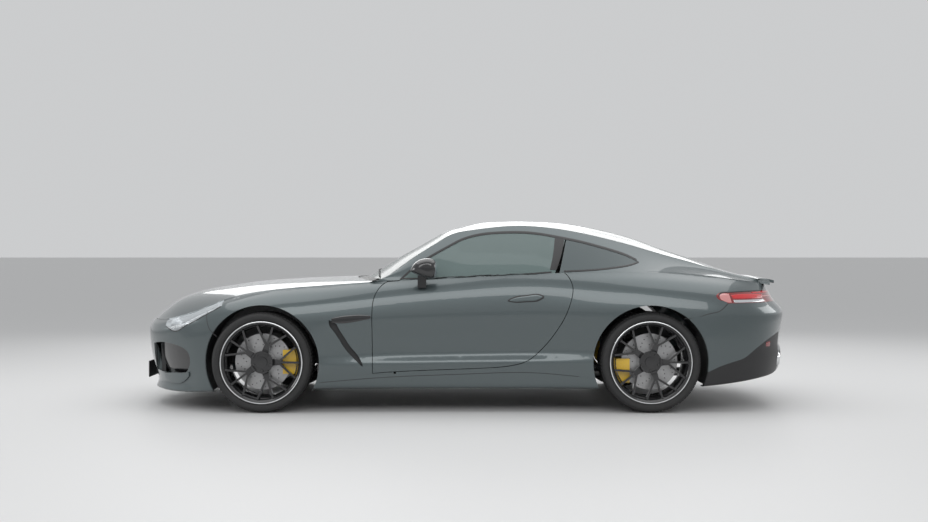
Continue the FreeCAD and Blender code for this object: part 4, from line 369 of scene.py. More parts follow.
roofEdge = [
    (-0.2369, 0.8065, 0.6839), (-0.1929, 0.7762, 0.7408), (-0.1337, 0.7359, 0.8139),
    (-0.0740, 0.6855, 0.8796), (-0.0440, 0.6552, 0.9114), (0.0169, 0.6250, 0.9380),
    (0.0774, 0.6149, 0.9513), (0.1536, 0.6048, 0.9623), (0.2297, 0.6048, 0.9572),
    (0.3215, 0.5948, 0.9357), (0.4133, 0.5847, 0.9010), (0.5076, 0.5746, 0.8589),
    (0.5990, 0.5645, 0.8131), (0.6916, 0.5645, 0.7703), (0.7783, 0.5847, 0.7253),
    (0.8397, 0.6048, 0.6979), (0.9306, 0.6452, 0.6706),
]
roofMiddle = [
    (-0.3046, 0.6883), (-0.2720, 0.7223), (-0.2073, 0.7954), (-0.1430, 0.8575), (-0.0787, 0.9217),
    (-0.0465, 0.9498), (-0.0144, 0.9638), (0.0178, 0.9778), (0.0499, 0.9897), (0.1142, 0.9978),
    (0.1637, 1.0000), (0.2115, 0.9985), (0.2771, 0.9934), (0.3752, 0.9712), (0.4404, 0.9483),
    (0.5055, 0.9202), (0.5711, 0.8833), (0.6358, 0.8405), (0.7009, 0.8035), (0.7673, 0.7614),
    (0.8325, 0.7216), (0.8976, 0.6942), (0.9370, 0.6846),
]
roofLead = [
    (-0.2369, 0.1613), (-0.0440, 0.0605), (0.1536, 0.0101), (0.3807, 0.0020), (0.9306, -0.0151),
]
bonnetMiddle = [
    (-0.9877, 0.4572), (-0.9602, 0.4985), (-0.9433, 0.5214), (-0.9264, 0.5451), (-0.8799, 0.5871),
    (-0.8206, 0.6167), (-0.7538, 0.6359), (-0.6853, 0.6536), (-0.5567, 0.6728), (-0.4213, 0.6839),
    (-0.3384, 0.6876),
]


def scaled(rows, column, size):
    return spline([row[0] * halfLength for row in rows], [row[column] * size for row in rows])


sideWidth = scaled(sideWidths, 1, halfWidth)
noseStart, tailStart = sideWidths[0][0] * halfLength, sideWidths[-1][0] * halfLength


def planOutline():
    points, count = [], car["outlineSteps"]
    for i in range(count):
        angle = math.pi / 2 * i / count
        along, across = math.cos(angle) ** (2 / car["nosePower"]), math.sin(angle) ** (2 / car["nosePower"])
        points.append((noseStart - (halfLength + noseStart) * along, sideWidth(noseStart) * across))
    for i in range(count):
        x = noseStart + (tailStart - noseStart) * i / count
        points.append((x, sideWidth(x)))
    for i in range(count + 1):
        angle = math.pi / 2 * (1 - i / count)
        along, across = math.cos(angle) ** (2 / car["tailPower"]), math.sin(angle) ** (2 / car["tailPower"])
        points.append((tailStart + (halfLength - tailStart) * along, sideWidth(tailStart) * across))
    lengths = [0.0]
    for first, second in zip(points, points[1:]):
        lengths.append(lengths[-1] + math.dist(first, second))
    return points, lengths


outline, arcs = planOutline()
wholeArc = arcs[-1]


def outlineAt(arc):
    if arc < 0:
        x, y = outlineAt(-arc)
        return x, -y
    if arc > wholeArc:
        x, y = outlineAt(2 * wholeArc - arc)
        return x, -y
    low, high = 0, len(arcs) - 1
    while high - low > 1:
        middle = (low + high) // 2
        low, high = (middle, high) if arcs[middle] <= arc else (low, middle)
    share = (arc - arcs[low]) / (arcs[high] - arcs[low])
    return tuple(a + (b - a) * share for a, b in zip(outline[low], outline[high]))


def arcOf(kind, share):
    tests = {
        "nose": lambda x, y: y >= share * halfWidth,
        "side": lambda x, y: x >= share * halfLength,
        "tail": lambda x, y: x > 0 and y <= share * halfWidth,
    }
    return next((arcs[i] for i, point in enumerate(outline) if tests[kind](*point)), wholeArc)


stationArcs = [arcOf(row[0], row[1]) for row in sectionShares]
sideBottom = spline(stationArcs, [row[2] * height for row in sectionShares])
sideTop = spline(stationArcs, [row[3] * height for row in sectionShares])
sideInsets = [
    spline(stationArcs, [row[4][j] * halfWidth for row in sectionShares]) for j in range(len(levels))
]
sideRise = rising(levels)


def sideColumn(arc, count=car["sidePoints"]):
    inner = min(abs(arc), 2 * wholeArc - abs(arc))
    x, y = outlineAt(arc)
    x0, y0 = outlineAt(arc - wholeArc * car["spread"])
    x1, y1 = outlineAt(arc + wholeArc * car["spread"])
    length = math.hypot(x1 - x0, y1 - y0)
    inset = rising([f(inner) for f in sideInsets])
    low, high = sideBottom(inner), sideTop(inner)
    rows = []
    for j in range(count):
        level = (len(levels) - 1) * j / (count - 1)
        depth = inset(level)
        sunkX, sunkY = x + (y1 - y0) / length * depth, -(y - (x1 - x0) / length * depth)
        rows.append(Vector((sunkX, sunkY, low + (high - low) * sideRise(level))))
    return rows


def beltPoint(arc):
    return sideColumn(arc, 2)[-1]


roofEdgeWidth, roofEdgeHeight = scaled(roofEdge, 1, halfWidth), scaled(roofEdge, 2, height)
roofMiddleHeight, roofForward = scaled(roofMiddle, 1, height), scaled(roofLead, 1, halfWidth)
roofStart, roofEnd = roofEdge[0][0] * halfLength, roofEdge[-1][0] * halfLength


def roofPoint(t, share):
    x = roofStart + (roofEnd - roofStart) * t
    crown = 1 - abs(share) ** car["crownPower"]
    low, high = roofEdgeHeight(x), roofMiddleHeight(x - roofForward(x))
    forward = roofForward(x) * (1 - share * share)
    return Vector((x - forward, share * roofEdgeWidth(x), low + (high - low) * crown))


# How far the flank swells out between the belt and the roof's edge
swells = [(-0.24, 0.012), (0.1, 0.018), (0.34, 0.014), (0.5, -0.006), (0.62, -0.022), (0.93, -0.012)]
flankSwell = scaled(swells, 1, halfWidth)
flankStart, flankEnd = -0.668, 2.150
beltArcs = [wholeArc * i / car["beltSteps"] for i in range(car["beltSteps"] + 1)]
beltTable = [(beltPoint(arc).x, arc) for arc in beltArcs]


def arcOfBelt(x):
    for (x0, a0), (x1, a1) in zip(beltTable, beltTable[1:]):
        if x0 <= x <= x1 and x1 > x0:
            return a0 + (a1 - a0) * (x - x0) / (x1 - x0)
    return wholeArc


def flankPoint(share, rise):
    x = flankStart + (flankEnd - flankStart) * share
    belt = beltPoint(arcOfBelt(x))
    roofX = roofStart + (flankEnd - roofStart) * share
    point = belt + (Vector((roofX, -roofEdgeWidth(roofX), roofEdgeHeight(roofX))) - belt) * rise
    point.y -= flankSwell(x) * 4 * rise * (1 - rise)
    return point


bonnet = {"nose": 0.64, "cowl": -0.262, "gather": 1.35, "dipPower": 6, "lead": 0.12, "margin": 0.011}
bonnetHeight = scaled(bonnetMiddle, 1, height)
bonnetFirst, bonnetLast = arcOf("nose", bonnet["nose"]), arcOfBelt(bonnet["cowl"] * halfLength)
bonnetFront, bonnetRear = beltPoint(0.0).x, bonnetMiddle[-1][0] * halfLength


def bonnetPoint(t, share):
    along = t ** bonnet["gather"]
    edge = beltPoint(bonnetFirst + (bonnetLast - bonnetFirst) * along)
    corner, front = beltPoint(bonnetFirst), beltPoint(bonnetFirst * abs(share))
    bow = (front.x - corner.x) / (bonnetFront - corner.x)
    middleX = bonnetFront + (bonnetRear - bonnetFront) * along
    crown = 1 - abs(share) ** car["crownPower"]
    z = edge.z + (bonnetHeight(middleX) - edge.z) * crown
    z += (front.z - corner.z - (beltPoint(0.0).z - corner.z) * crown) * (1 - t) ** bonnet["dipPower"]
    u = min(max(t / bonnet["lead"], 0.0), 1.0)
    x = edge.x + (middleX - edge.x) * bow + bonnet["margin"] * (1 - u * u * (3 - 2 * u)) * bow
    return Vector((x, share * (-edge.y - bonnet["margin"]), z))


def gridMesh(name, rows):
    mesh = bpy.data.meshes.new(name)
    across = len(rows[0])
    faces = [
        (i * across + j, i * across + j + 1, (i + 1) * across + j + 1, (i + 1) * across + j)
        for i in range(len(rows) - 1) for j in range(across - 1)
    ]
    mesh.from_pydata([tuple(point) for row in rows for point in row], [], faces)
    item = bpy.data.objects.new(name, mesh)
    bpy.context.scene.collection.objects.link(item)
    alone(item)
    bpy.ops.object.shade_smooth()
    return item


def surface(name, point, steps, columns, first):
    shares = [first + (1 - first) * j / columns for j in range(columns + 1)]
    return gridMesh(name, [[point(i / steps, share) for share in shares] for i in range(steps + 1)])


def sideStation(t):
    return sideColumn(wholeArc * (t - car["pastEnd"]) * (1 + car["pastEnd"]))


sideSteps = car["sideSteps"]
# Rows, columns and the first share across, which is -1 where the surface spans both sides
masters = {
    "side": gridMesh("sideMaster", [sideStation(i / sideSteps) for i in range(sideSteps + 1)]),
    "roof": surface("roofMaster", roofPoint, 200, 80, -1),
    "flank": surface("flankMaster", flankPoint, 200, 24, 0),
    "bonnet": surface("bonnetMaster", bonnetPoint, 120, 60, -1),
}
for item in masters.values():
    outward = sum(
        face.normal.dot(face.center - Vector((face.center.x, 0, car["middle"]))) * face.area
        for face in item.data.polygons
    )
    if outward < 0:
        alone(item)
        editMode()
        bpy.ops.mesh.flip_normals()
        objectMode()
for name in ("side", "flank"):
    applied(masters[name], "MIRROR", use_axis=(False, True, False), use_mirror_merge=False)
print("master surfaces")

# Panels, glass and lamp covers: copies of the nodes, shaded from the smooth surfaces
skins = {
    "paint": {
        "body_side_left": "side flank", "body_side_right": "side flank", "roof_panel": "roof",
        "front_fenders": "side", "front_bumper": "side", "rear_bumper": "side", "bonnet": "bonnet",
        "tailgate": "roof side", "door_left": "side", "door_right": "side", "side_skirts": "side",
    },
    "glazing": {"windscreen": "roof", "rear_glass": "roof"},
    "doorGlazing": {"door_glass_left": "flank", "door_glass_right": "flank"},
    "quarterGlazing": {"quarter_glass": "flank"},
    "lensCover": {"headlamp_lenses": "side"},
    "redLens": {"tail_lamps": "side"},
    "blackGloss": {"door_mirror_left": "", "door_mirror_right": "", "front_grille": ""},
    "blackSatin": {"rear_diffuser": "side", "cowl_panel": ""},
}
# The finish of a panel's inner face, and whether that face looks down rather than to the middle
linings = {
    "door_left": ("leather", False), "door_right": ("leather", False), "body_side_left": ("lining", False),
    "body_side_right": ("lining", False), "roof_panel": ("lining", True), "tailgate": ("blackMoulded", True),
    "bonnet": ("blackSatin", True), "front_fenders": ("blackSatin", False),
}
panel = {"weld": 0.00002, "carry": 0.004, "inward": 0.35}


def smoothed(item, sharp):
    alone(item)
    bpy.ops.object.shade_smooth_by_angle(angle=sharp)
    return item


def finished(item, node=None, body=None):
    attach(item, body or bodyOf[node])
    if node:
        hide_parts(node)
    return item


def copyOf(node, name, sharp=0.5):
    alone(frame["nodes"][node])
    bpy.ops.object.duplicate()
    item = bpy.context.object
    item.name = name
    bpy.ops.object.parent_clear(type="CLEAR_KEEP_TRANSFORM")
    editMode()
    bpy.ops.mesh.remove_doubles(threshold=panel["weld"])
    objectMode()
    bpy.ops.mesh.customdata_custom_splitnormals_clear()
    return smoothed(item, sharp)


def shadedFrom(item, master):
    applied(
        item, "DATA_TRANSFER", object=masters[master], use_loop_data=True, data_types_loops={"CUSTOM_NORMAL"},
        loop_mapping="POLYINTERP_LNORPROJ", use_max_distance=True, max_distance=panel["carry"]
    )


def lined(item, finish, downwards):
    item.data.materials.append(finishes[finish].material)
    for face in item.data.polygons:
        inward = -face.normal.z if downwards else -face.normal.y * math.copysign(1, face.center.y)
        face.material_index = 1 if inward > panel["inward"] else 0


for finish, nodes in skins.items():
    for node, sources in nodes.items():
        item = copyOf(node, node + "_finish")
        for master in sources.split():
            shadedFrom(item, master)
        paintAs(item, finish)
        if node in linings:
            lined(item, *linings[node])
        finished(item, node)
print("panels")


# Shapes made the same way again and again
def baked(item):
    alone(item)
    bpy.ops.object.transform_apply(location=True, rotation=True, scale=True)
    return item


def settled(item, location=(0, 0, 0), rotation=(0, 0, 0)):
    item.location, item.rotation_euler = location, rotation
    return baked(item)


def twin(item, name, location=(0, 0, 0), rotation=(0, 0, 0), scale=(1, 1, 1)):
    alone(item)
    bpy.ops.object.duplicate()
    copy = bpy.context.object
    copy.name, copy.scale = name, scale
    return settled(copy, location, rotation)


def joined(name, *items):
    alone(*items)
    bpy.ops.object.join()
    bpy.context.object.name = name
    return bpy.context.object


def lathe(name, profile, steps, finish, sharp=0.6):
    bpy.ops.object.select_all(action="DESELECT")
    bpy.ops.mesh.primitive_plane_add(size=0.001, location=(0, 0, 0))
    item = bpy.context.object
    item.name = name
    editMode()
    bpy.ops.mesh.select_mode(type="VERT")
    bpy.ops.mesh.select_all(action="SELECT")
    bpy.ops.mesh.merge(type="CENTER")
    bpy.ops.transform.translate(value=(profile[0][0], profile[0][1], 0))
    for (r0, y0), (r1, y1) in zip(profile, profile[1:]):
        bpy.ops.mesh.extrude_region_move(TRANSFORM_OT_translate={"value": (r1 - r0, y1 - y0, 0)})
    bpy.ops.mesh.select_all(action="SELECT")
    bpy.ops.mesh.spin(steps=steps, angle=2 * math.pi, center=(0, 0, 0), axis=(0, 1, 0))
    bpy.ops.mesh.select_all(action="SELECT")
    bpy.ops.mesh.remove_doubles(threshold=panel["weld"])
    bpy.ops.mesh.normals_make_consistent(inside=False)
    objectMode()
    return paintAs(smoothed(item, sharp), finish)


def rounded(name, low, high, radius, finish, segments=3, sharp=0.7):
    bpy.ops.object.select_all(action="DESELECT")
    bpy.ops.mesh.primitive_cube_add(
        size=1, location=[(a + b) / 2 for a, b in zip(low, high)], scale=[b - a for a, b in zip(low, high)]
    )
    item = baked(bpy.context.object)
    item.name = name
    applied(item, "BEVEL", width=radius, segments=segments, limit_method="NONE")
    return paintAs(smoothed(item, sharp), finish)


def thickened(item, thickness, finish, sharp=0.6):
    applied(item, "SOLIDIFY", thickness=thickness, offset=0)
    return paintAs(smoothed(item, sharp), finish)


# Wheels: tyre with blocks and sipes, bright lip, cap, nuts, and drilled discs whose holes are studs of
# painted shade
wheel = {
    "segments": 90, "blockGap": 0.0026, "blockHeight": 0.0065, "treadRadius": 0.3425, "blockFloor": 0.336,
    "frontHalf": 0.145, "rearHalf": 0.150, "crownHalf": 0.112, "crownDrop": 0.0016, "sipe": 0.01,
    "facingOut": 0.8,
    "ribs": (-0.112, -0.070, -0.066, -0.024, -0.020, 0.020, 0.024, 0.066, 0.070, 0.112),
    "nutCircle": 0.060, "nutRadius": 0.0105, "nutLength": 0.018, "nutBevel": 0.0018, "nutFace": -0.104,
    "capFace": -0.1025, "lipFace": -0.1300, "discHoles": 12, "discRows": (0.118, 0.138, 0.158, 0.178),
    "holeRadius": 0.0042, "holeDepth": 0.0010, "holeFace": -0.0383, "holeTwist": 0.28,
}


def sidewall(half):
    return [
        (0.2695, half - 0.030), (0.2850, half - 0.0245), (0.2905, half - 0.0150), (0.2960, half - 0.0060),
        (0.3000, half - 0.0052), (0.3030, half - 0.0022), (0.3130, half), (0.3230, half - 0.0012),
        (0.3262, half - 0.0036), (0.3300, half - 0.0050), (0.3370, half - 0.0130), (0.3405, half - 0.0230)
    ]


def tyreOf(name, half):
    widen = half / wheel["frontHalf"]
    ribs = [
        (wheel["treadRadius"] - wheel["crownDrop"] * (y / wheel["crownHalf"]) ** 2, y * widen)
        for y in wheel["ribs"]
    ]
    side = sidewall(half)
    profile = [(r, -y) for r, y in side] + ribs + [(r, y) for r, y in reversed(side)]
    inner = [(0.2700, half - 0.048), (0.3000, half - 0.030), (0.3280, half - 0.034), (0.3320, 0.0)]
    profile += inner + [(r, -y) for r, y in reversed(inner[:-1])] + [(side[0][0], -side[0][1])]
    item = lathe(name, profile, wheel["segments"], "rubber", 0.5)
    spans = zip(wheel["ribs"], wheel["ribs"][1:])
    raised = [(low, high) for low, high in spans if high - low > wheel["sipe"]]
    editMode("DESELECT")
    objectMode()
    for face in item.data.polygons:
        radius = math.hypot(face.center.x, face.center.z)
        outward = (face.normal.x * face.center.x + face.normal.z * face.center.z) / radius
        y = face.center.y / widen
        onRib = any(low < y < high for low, high in raised)
        face.select = onRib and radius > wheel["blockFloor"] and outward > wheel["facingOut"]
    bpy.ops.object.mode_set(mode="EDIT")
    bpy.ops.mesh.select_mode(type="FACE")
    bpy.ops.mesh.inset(thickness=wheel["blockGap"], use_individual=True)
    bpy.ops.mesh.extrude_region_shrink_fatten(TRANSFORM_OT_shrink_fatten={"value": wheel["blockHeight"]})
    objectMode()
    return smoothed(item, 0.5)


def stud(sides, radius, depth, place):
    bpy.ops.object.select_all(action="DESELECT")
    bpy.ops.mesh.primitive_cylinder_add(
        vertices=sides, radius=radius, depth=depth, location=place, rotation=(math.pi / 2, 0, 0)
    )
    return baked(bpy.context.object)


def nutAt(angle):
    across, up = wheel["nutCircle"] * math.sin(angle), wheel["nutCircle"] * math.cos(angle)
    item = stud(6, wheel["nutRadius"], wheel["nutLength"], (across, wheel["nutFace"], up))
    editMode()
    bpy.ops.mesh.bevel(offset=wheel["nutBevel"], segments=2)
    objectMode()
    return paintAs(item, "wheelBlack")


# The drilled holes are thin near-black studs on the disc face: painted shade in place of open holes
def drilled():
    rings = []
    for k in range(wheel["discHoles"]):
        for row, radius in enumerate(wheel["discRows"]):
            angle = 2 * math.pi * (k + row * wheel["holeTwist"]) / wheel["discHoles"]
            place = (radius * math.sin(angle), wheel["holeFace"], radius * math.cos(angle))
            rings.append(stud(10, wheel["holeRadius"], wheel["holeDepth"], place))
    return paintAs(joined("discHoles", *rings), "screen")


capProfile = [
    (0.0, -0.0030), (0.022, -0.0026), (0.030, -0.0010), (0.0345, 0.0005), (0.0375, -0.0015),
    (0.0375, -0.0090), (0.0, -0.0100)
]
lipProfile = [
    (0.2858, 0.0), (0.2868, -0.0030), (0.2862, -0.0062), (0.2835, -0.0078), (0.2790, -0.0070),
    (0.2770, -0.0035), (0.2778, 0.0), (0.2858, 0.0)
]
print("wheel shapes")
tyres = {half: tyreOf("tyre", half) for half in (wheel["frontHalf"], wheel["rearHalf"])}
trims = (
    settled(lathe("cap", capProfile, 40, "wheelBlack", 0.7), (0, wheel["capFace"], 0)),
    settled(lathe("lip", lipProfile, 120, "brightTrim", 0.8), (0, wheel["lipFace"], 0)),
    joined("wheelNuts", *[nutAt(math.radians(36 + 72 * k)) for k in range(5)]),
    drilled(),
)
corners = {
    "front_left": (car["frontAxle"], -car["frontTrack"], wheel["frontHalf"]),
    "front_right": (car["frontAxle"], car["frontTrack"], wheel["frontHalf"]),
    "rear_left": (car["rearAxle"], -car["rearTrack"], wheel["rearHalf"]),
    "rear_right": (car["rearAxle"], car["rearTrack"], wheel["rearHalf"]),
}
for corner, (x, y, half) in corners.items():
    place, turn = (x, y, car["wheelHeight"]), (0, 0, 0 if y < 0 else math.pi)
    body = "wheel_" + corner
    finished(twin(tyres[half], "tyre_%s_tread" % corner, place, turn), "tyre_" + corner)
    for item in trims:
        slot = "disc" if item.name.startswith("disc") else "rim"
        finished(twin(item, "%s_%s" % (item.name, corner), place, turn), None, body)
    finished(paintAs(copyOf("rim_" + corner, "rim_%s_spokes" % corner, 0.6), "wheelBlack"), "rim_" + corner)
for item in list(tyres.values()) + list(trims):
    bpy.data.objects.remove(item)
print("wheels")

# Pieces that follow the body's skin, drawn in the side view in the photograph's pixels
view = {"middle": 464.5, "horizon": 251.0, "eye": 1.123, "scale": 144.5}


def sidePoint(px, py):
    return (px - view["middle"]) / view["scale"], view["eye"] - (py - view["horizon"]) / view["scale"]


def run(points, count):
    points = [sidePoint(*point) for point in points]
    knots = [0.0]
    for first, second in zip(points, points[1:]):
        knots.append(knots[-1] + math.dist(first, second))
    alongX, alongZ = spline(knots, [p[0] for p in points]), spline(knots, [p[1] for p in points])
    steps = [knots[-1] * i / (count - 1) for i in range(count)]
    return [(alongX(step), alongZ(step)) for step in steps]


def onSkin(master, x, z, lift):
    hit, place, normal, _ = masters[master].ray_cast(Vector((x, -3.0, z)), Vector((0, 1, 0)))
    if not hit:
        place, normal = masters[master].closest_point_on_mesh(Vector((x, -0.9, z)))[1:3]
    normal = normal if normal.y < 0 else -normal
    return place + normal * lift


def ribbon(name, upper, lower, master, lift, depth, finish, count=40, across=5, bevel=0.0008):
    shares = [j / (across - 1) for j in range(across)]
    rows = [
        [onSkin(master, x0 + (x1 - x0) * share, z0 + (z1 - z0) * share, lift) for share in shares]
        for (x0, z0), (x1, z1) in zip(run(upper, count), run(lower, count))
    ]
    item = gridMesh(name, rows)
    facesInward = item.data.polygons[len(item.data.polygons) // 2].normal.y > 0
    applied(item, "SOLIDIFY", thickness=depth, offset=1.0 if facesInward else -1.0)
    editMode()
    bpy.ops.mesh.normals_make_consistent(inside=False)
    objectMode()
    applied(item, "BEVEL", width=bevel, segments=2, angle_limit=0.9)
    return paintAs(smoothed(item, 0.7), finish)


def bothSides(item, bodies):
    name = item.name
    finished(twin(item, name + "_right", scale=(1, -1, 1)), None, bodies[1])
    item.name = name + "_left"
    finished(item, None, bodies[0])


# Master surface, lift, depth, finish, bodies and slot of the pieces that are alike
doors, shell = ("door_left", "door_right"), ("car", "car")
skinKinds = {
    "handle": ("side", 0.0045, 0.0060, "paint", doors, "paint"),
    "recess": ("side", 0.0008, 0.0030, "blackSatin", doors, "black_trim"),
    "fin": ("side", 0.0035, 0.0060, "blackGloss", shell, "black_trim"),
    "deepLining": ("side", -0.030, 0.004, "blackMoulded", shell, "black_trim"),
    "belt": ("flank", 0.0022, 0.0045, "blackSatin", doors, "black_trim"),
    "lightGuide": ("side", -0.009, 0.004, "whiteLight", shell, "lamp_inside"),
    "lampDark": ("side", -0.010, 0.004, "blackGloss", shell, "lamp_inside"),
    "lampEdge": ("side", 0.0006, 0.0016, "blackSatin", shell, "lamp_inside"),
    "blade": ("side", 0.0100, 0.0140, "paint", shell, "paint"),
    "redBar": ("side", 0.0012, 0.0024, "redLight", shell, "tail_lamp"),
    "paleLamp": ("side", 0.0010, 0.0022, "paleRed", shell, "tail_lamp"),
    # A silver strip that stands in for the pale highlight below the tail lamp's red bar: painted highlight
    "paintedHighlight": ("side", 0.0012, 0.0024, "silver", shell, "tail_lamp"),
    "tailEdge": ("side", 0.0014, 0.0026, "blackSatin", shell, "tail_lamp"),
    "seam": ("side", 0.0004, 0.0006, "blackSatin", shell, "black_trim"),
    "reflector": ("side", 0.0015, 0.0030, "redLens", shell, "tail_lamp"),
}
skinPieces = {
    "doorHandle": (
        "handle",
        [(510.5, 300.2), (517, 297.8), (528, 296.2), (538, 295.2), (543, 296.6)],
        [(510.5, 301.2), (517, 301.9), (528, 301.3), (538, 300.3), (543, 297.6)],
    ),
    "handleRecess": (
        "recess",
        [(508.5, 300.0), (516, 296.6), (528, 295.0), (539, 294.0), (545, 296.0)],
        [(508.5, 301.6), (516, 303.0), (528, 302.4), (539, 301.4), (545, 298.2)],
    ),
    "ventFin": (
        "fin",
        [(332, 318.5), (340, 316.5), (352, 315.2), (362, 315.0), (371, 316.0)],
        [(332, 322.5), (340, 323.4), (352, 322.4), (362, 320.6), (371, 318.6)],
    ),
    "ventLining": (
        "deepLining",
        [(326, 316), (338, 322), (350, 341), (367, 365)],
        [(326, 330), (334, 341), (348, 360), (361, 371)],
    ),
    "beltMoulding": (
        "belt",
        [(402, 278.2), (430, 278.4), (470, 277.2), (515, 274.6), (553, 271.8)],
        [(402, 279.6), (430, 279.8), (470, 278.6), (515, 276.0), (553, 273.2)],
    ),
    "headlampBlade": (
        "lightGuide",
        [(163, 320.6), (176, 311.8), (190, 305.0), (203, 301.2), (214, 301.4)],
        [(163, 323.4), (176, 315.0), (190, 307.8), (203, 303.6), (214, 303.2)],
    ),
    "headlampDark": (
        "lampDark",
        [(159, 325.2), (166, 326.0), (173, 324.8), (179, 322.4)],
        [(160, 328.6), (166, 331.4), (173, 331.6), (180, 327.6)],
    ),
    "headlampEdgeLow": (
        "lampEdge",
        [(158, 328.0), (165, 331.2), (172, 332.0), (180, 327.5), (190, 322.5), (200, 317.0), (210, 311.5),
         (218.5, 306.4)],
        [(158, 329.0), (165, 332.3), (172, 333.1), (180, 328.6), (190, 323.6), (200, 318.1), (210, 312.6),
         (219.2, 307.4)],
    ),
    "frontBlade": (
        "blade",
        [(153.5, 377.2), (160, 376.2), (168, 375.6), (177, 375.0), (185.5, 373.6)],
        [(154, 383.0), (160, 386.0), (168, 387.0), (177, 385.6), (186, 378.0)],
    ),
    "tailLampBar": (
        "redBar",
        [(733, 295.4), (742, 294.6), (752, 294.4), (762, 294.6), (770, 295.4)],
        [(735, 298.8), (742, 299.0), (752, 299.0), (762, 298.8), (770, 298.4)],
    ),
    "tailLampSide": (
        "paleLamp",
        [(720.5, 295.2), (724, 294.0), (728, 293.8), (731, 294.2)],
        [(721.5, 299.2), (725, 301.2), (729, 302.6), (733, 302.8)],
    ),
    # The pale strip under the red bar is painted highlight, drawn as a silver reflector strip
    "tailLampClear": (
        "paintedHighlight",
        [(735, 300.2), (742, 300.2), (752, 300.2), (762, 300.0), (770.5, 299.8)],
        [(736, 302.8), (742, 302.9), (752, 302.8), (762, 302.6), (771, 302.2)],
    ),
    "tailLampEdge": (
        "tailEdge",
        [(719.5, 295.6), (722, 292.9), (728, 292.1), (740, 291.7), (755, 291.3), (769, 291.1)],
        [(720.3, 296.4), (722.8, 293.8), (728, 293.1), (740, 292.8), (755, 292.4), (769, 292.2)],
    ),
    "seamFrontBumper": (
        "seam",
        [(204.6, 312), (205.6, 320), (208.6, 329), (216.4, 337)],
        [(205.3, 312), (206.3, 320), (209.3, 329), (217.2, 336.6)],
    ),
    "seamRearBumper": (
        "seam",
        [(684, 318.2), (698, 316.7), (710, 313.2), (720, 310.7), (724, 307.7), (728.6, 303.4)],
        [(684, 318.8), (698, 317.3), (710, 313.9), (720, 311.4), (724.6, 308.3), (729.4, 303.8)],
    ),
    # A thin satin-black strip along the sill: painted shadow under the sill blade, drawn like a seam
    "seamSill": (
        "seam",
        [(318, 382.7), (330, 381.7), (360, 379.2), (400, 376.7), (440, 375.2), (480, 373.7), (510, 372.7),
         (540, 373.2), (560, 374.7), (580, 376.7)],
        [(318, 383.3), (330, 382.3), (360, 379.8), (400, 377.3), (440, 375.8), (480, 374.3), (510, 373.3),
         (540, 373.8), (560, 375.3), (580, 377.3)],
    ),
    "sideReflectorRear": (
        "reflector",
        [(771.6, 344), (774, 343.4), (777, 343.2)],
        [(771.6, 348), (774, 348.2), (777, 348.2)],
    ),
}
for name, (kind, upper, lower) in skinPieces.items():
    master, lift, depth, finish, bodies, slot = skinKinds[kind]
    bothSides(ribbon(name, upper, lower, master, lift, depth, finish), bodies)

# Window surrounds: the openings' edges in metres, and the pillar between them in pixels
windowTop = [
    (-0.452, 0.920), (-0.384, 0.982), (-0.315, 1.038), (-0.245, 1.082), (-0.174, 1.123), (-0.103, 1.162),
    (-0.032, 1.200), (0.039, 1.226), (0.111, 1.243), (0.254, 1.257), (0.362, 1.260), (0.470, 1.256),
    (0.613, 1.236), (0.720, 1.216), (0.827, 1.194), (0.968, 1.157), (1.108, 1.115), (1.180, 1.087),
    (1.232, 1.059)
]
windowBase = [(1.244, 1.045), (1.20, 1.030), (1.096, 1.010), (0.952, 0.993), (0.760, 0.982), (0.700, 0.980)]


def pixels(points, shift):
    return [
        (x * view["scale"] + view["middle"], view["horizon"] - (z + shift - view["eye"]) * view["scale"])
        for x, z in points
    ]


surrounds = {
    "windowTrimTop": (pixels(windowTop, 0.0060), pixels(windowTop, -0.0120)),
    "windowTrimBase": (pixels(windowBase, 0.006), pixels(windowBase, -0.006)),
    "windowPillar": (
        [(558.5, 236.0), (555.5, 255), (551.5, 270)], [(568.5, 238.0), (564.0, 255), (558.0, 270.5)]
    ),
}
for name, (upper, lower) in surrounds.items():
    strip = ribbon(name, upper, lower, "flank", 0.0016, 0.0040, "blackSatin", 80, 3, 0.0005)
    bothSides(strip, shell)
print("skin pieces")
for item in masters.values():
    bpy.data.objects.remove(item)

# Cabin: padded seats with sewn channels, lining, controls
seat = {
    "middle": 0.385, "backTop": (0.600, 1.010), "backFoot": (0.430, 0.400), "tilt": math.radians(-6),
    "steps": 28, "square": 4.0, "channelHalf": 0.72, "channelPower": 8, "weld": 0.0004,
}


def pillow(name, width, length, thickness, channels=0, dip=0.0):
    count, square = seat["steps"], seat["square"]
    rows = []
    for side in (1, -1):
        for i in range(count + 1) if side > 0 else range(count, -1, -1):
            u = -1 + 2 * i / count
            row = []
            for j in range(count + 1):
                v = -1 + 2 * j / count
                crown = max(0.0, 1 - abs(u) ** square) ** 0.5 * max(0.0, 1 - abs(v) ** square) ** 0.5
                z = side * thickness / 2 * crown
                if side > 0 and channels and abs(u) < seat["channelHalf"]:
                    wave = abs(math.cos(math.pi * channels * (v + 1) / 2))
                    z -= dip * wave ** seat["channelPower"] * crown
                row.append(Vector((v * length / 2, u * width / 2, z)))
            rows.append(row)
    item = gridMesh(name, rows)
    editMode()
    bpy.ops.mesh.remove_doubles(threshold=seat["weld"])
    bpy.ops.mesh.normals_make_consistent(inside=False)
    objectMode()
    return paintAs(smoothed(item, 1.2), "leather")


def padded(name, size, place, tilt):
    item = finished(settled(pillow(name, *size), place, (0, tilt, 0)), None, "car")
    return item


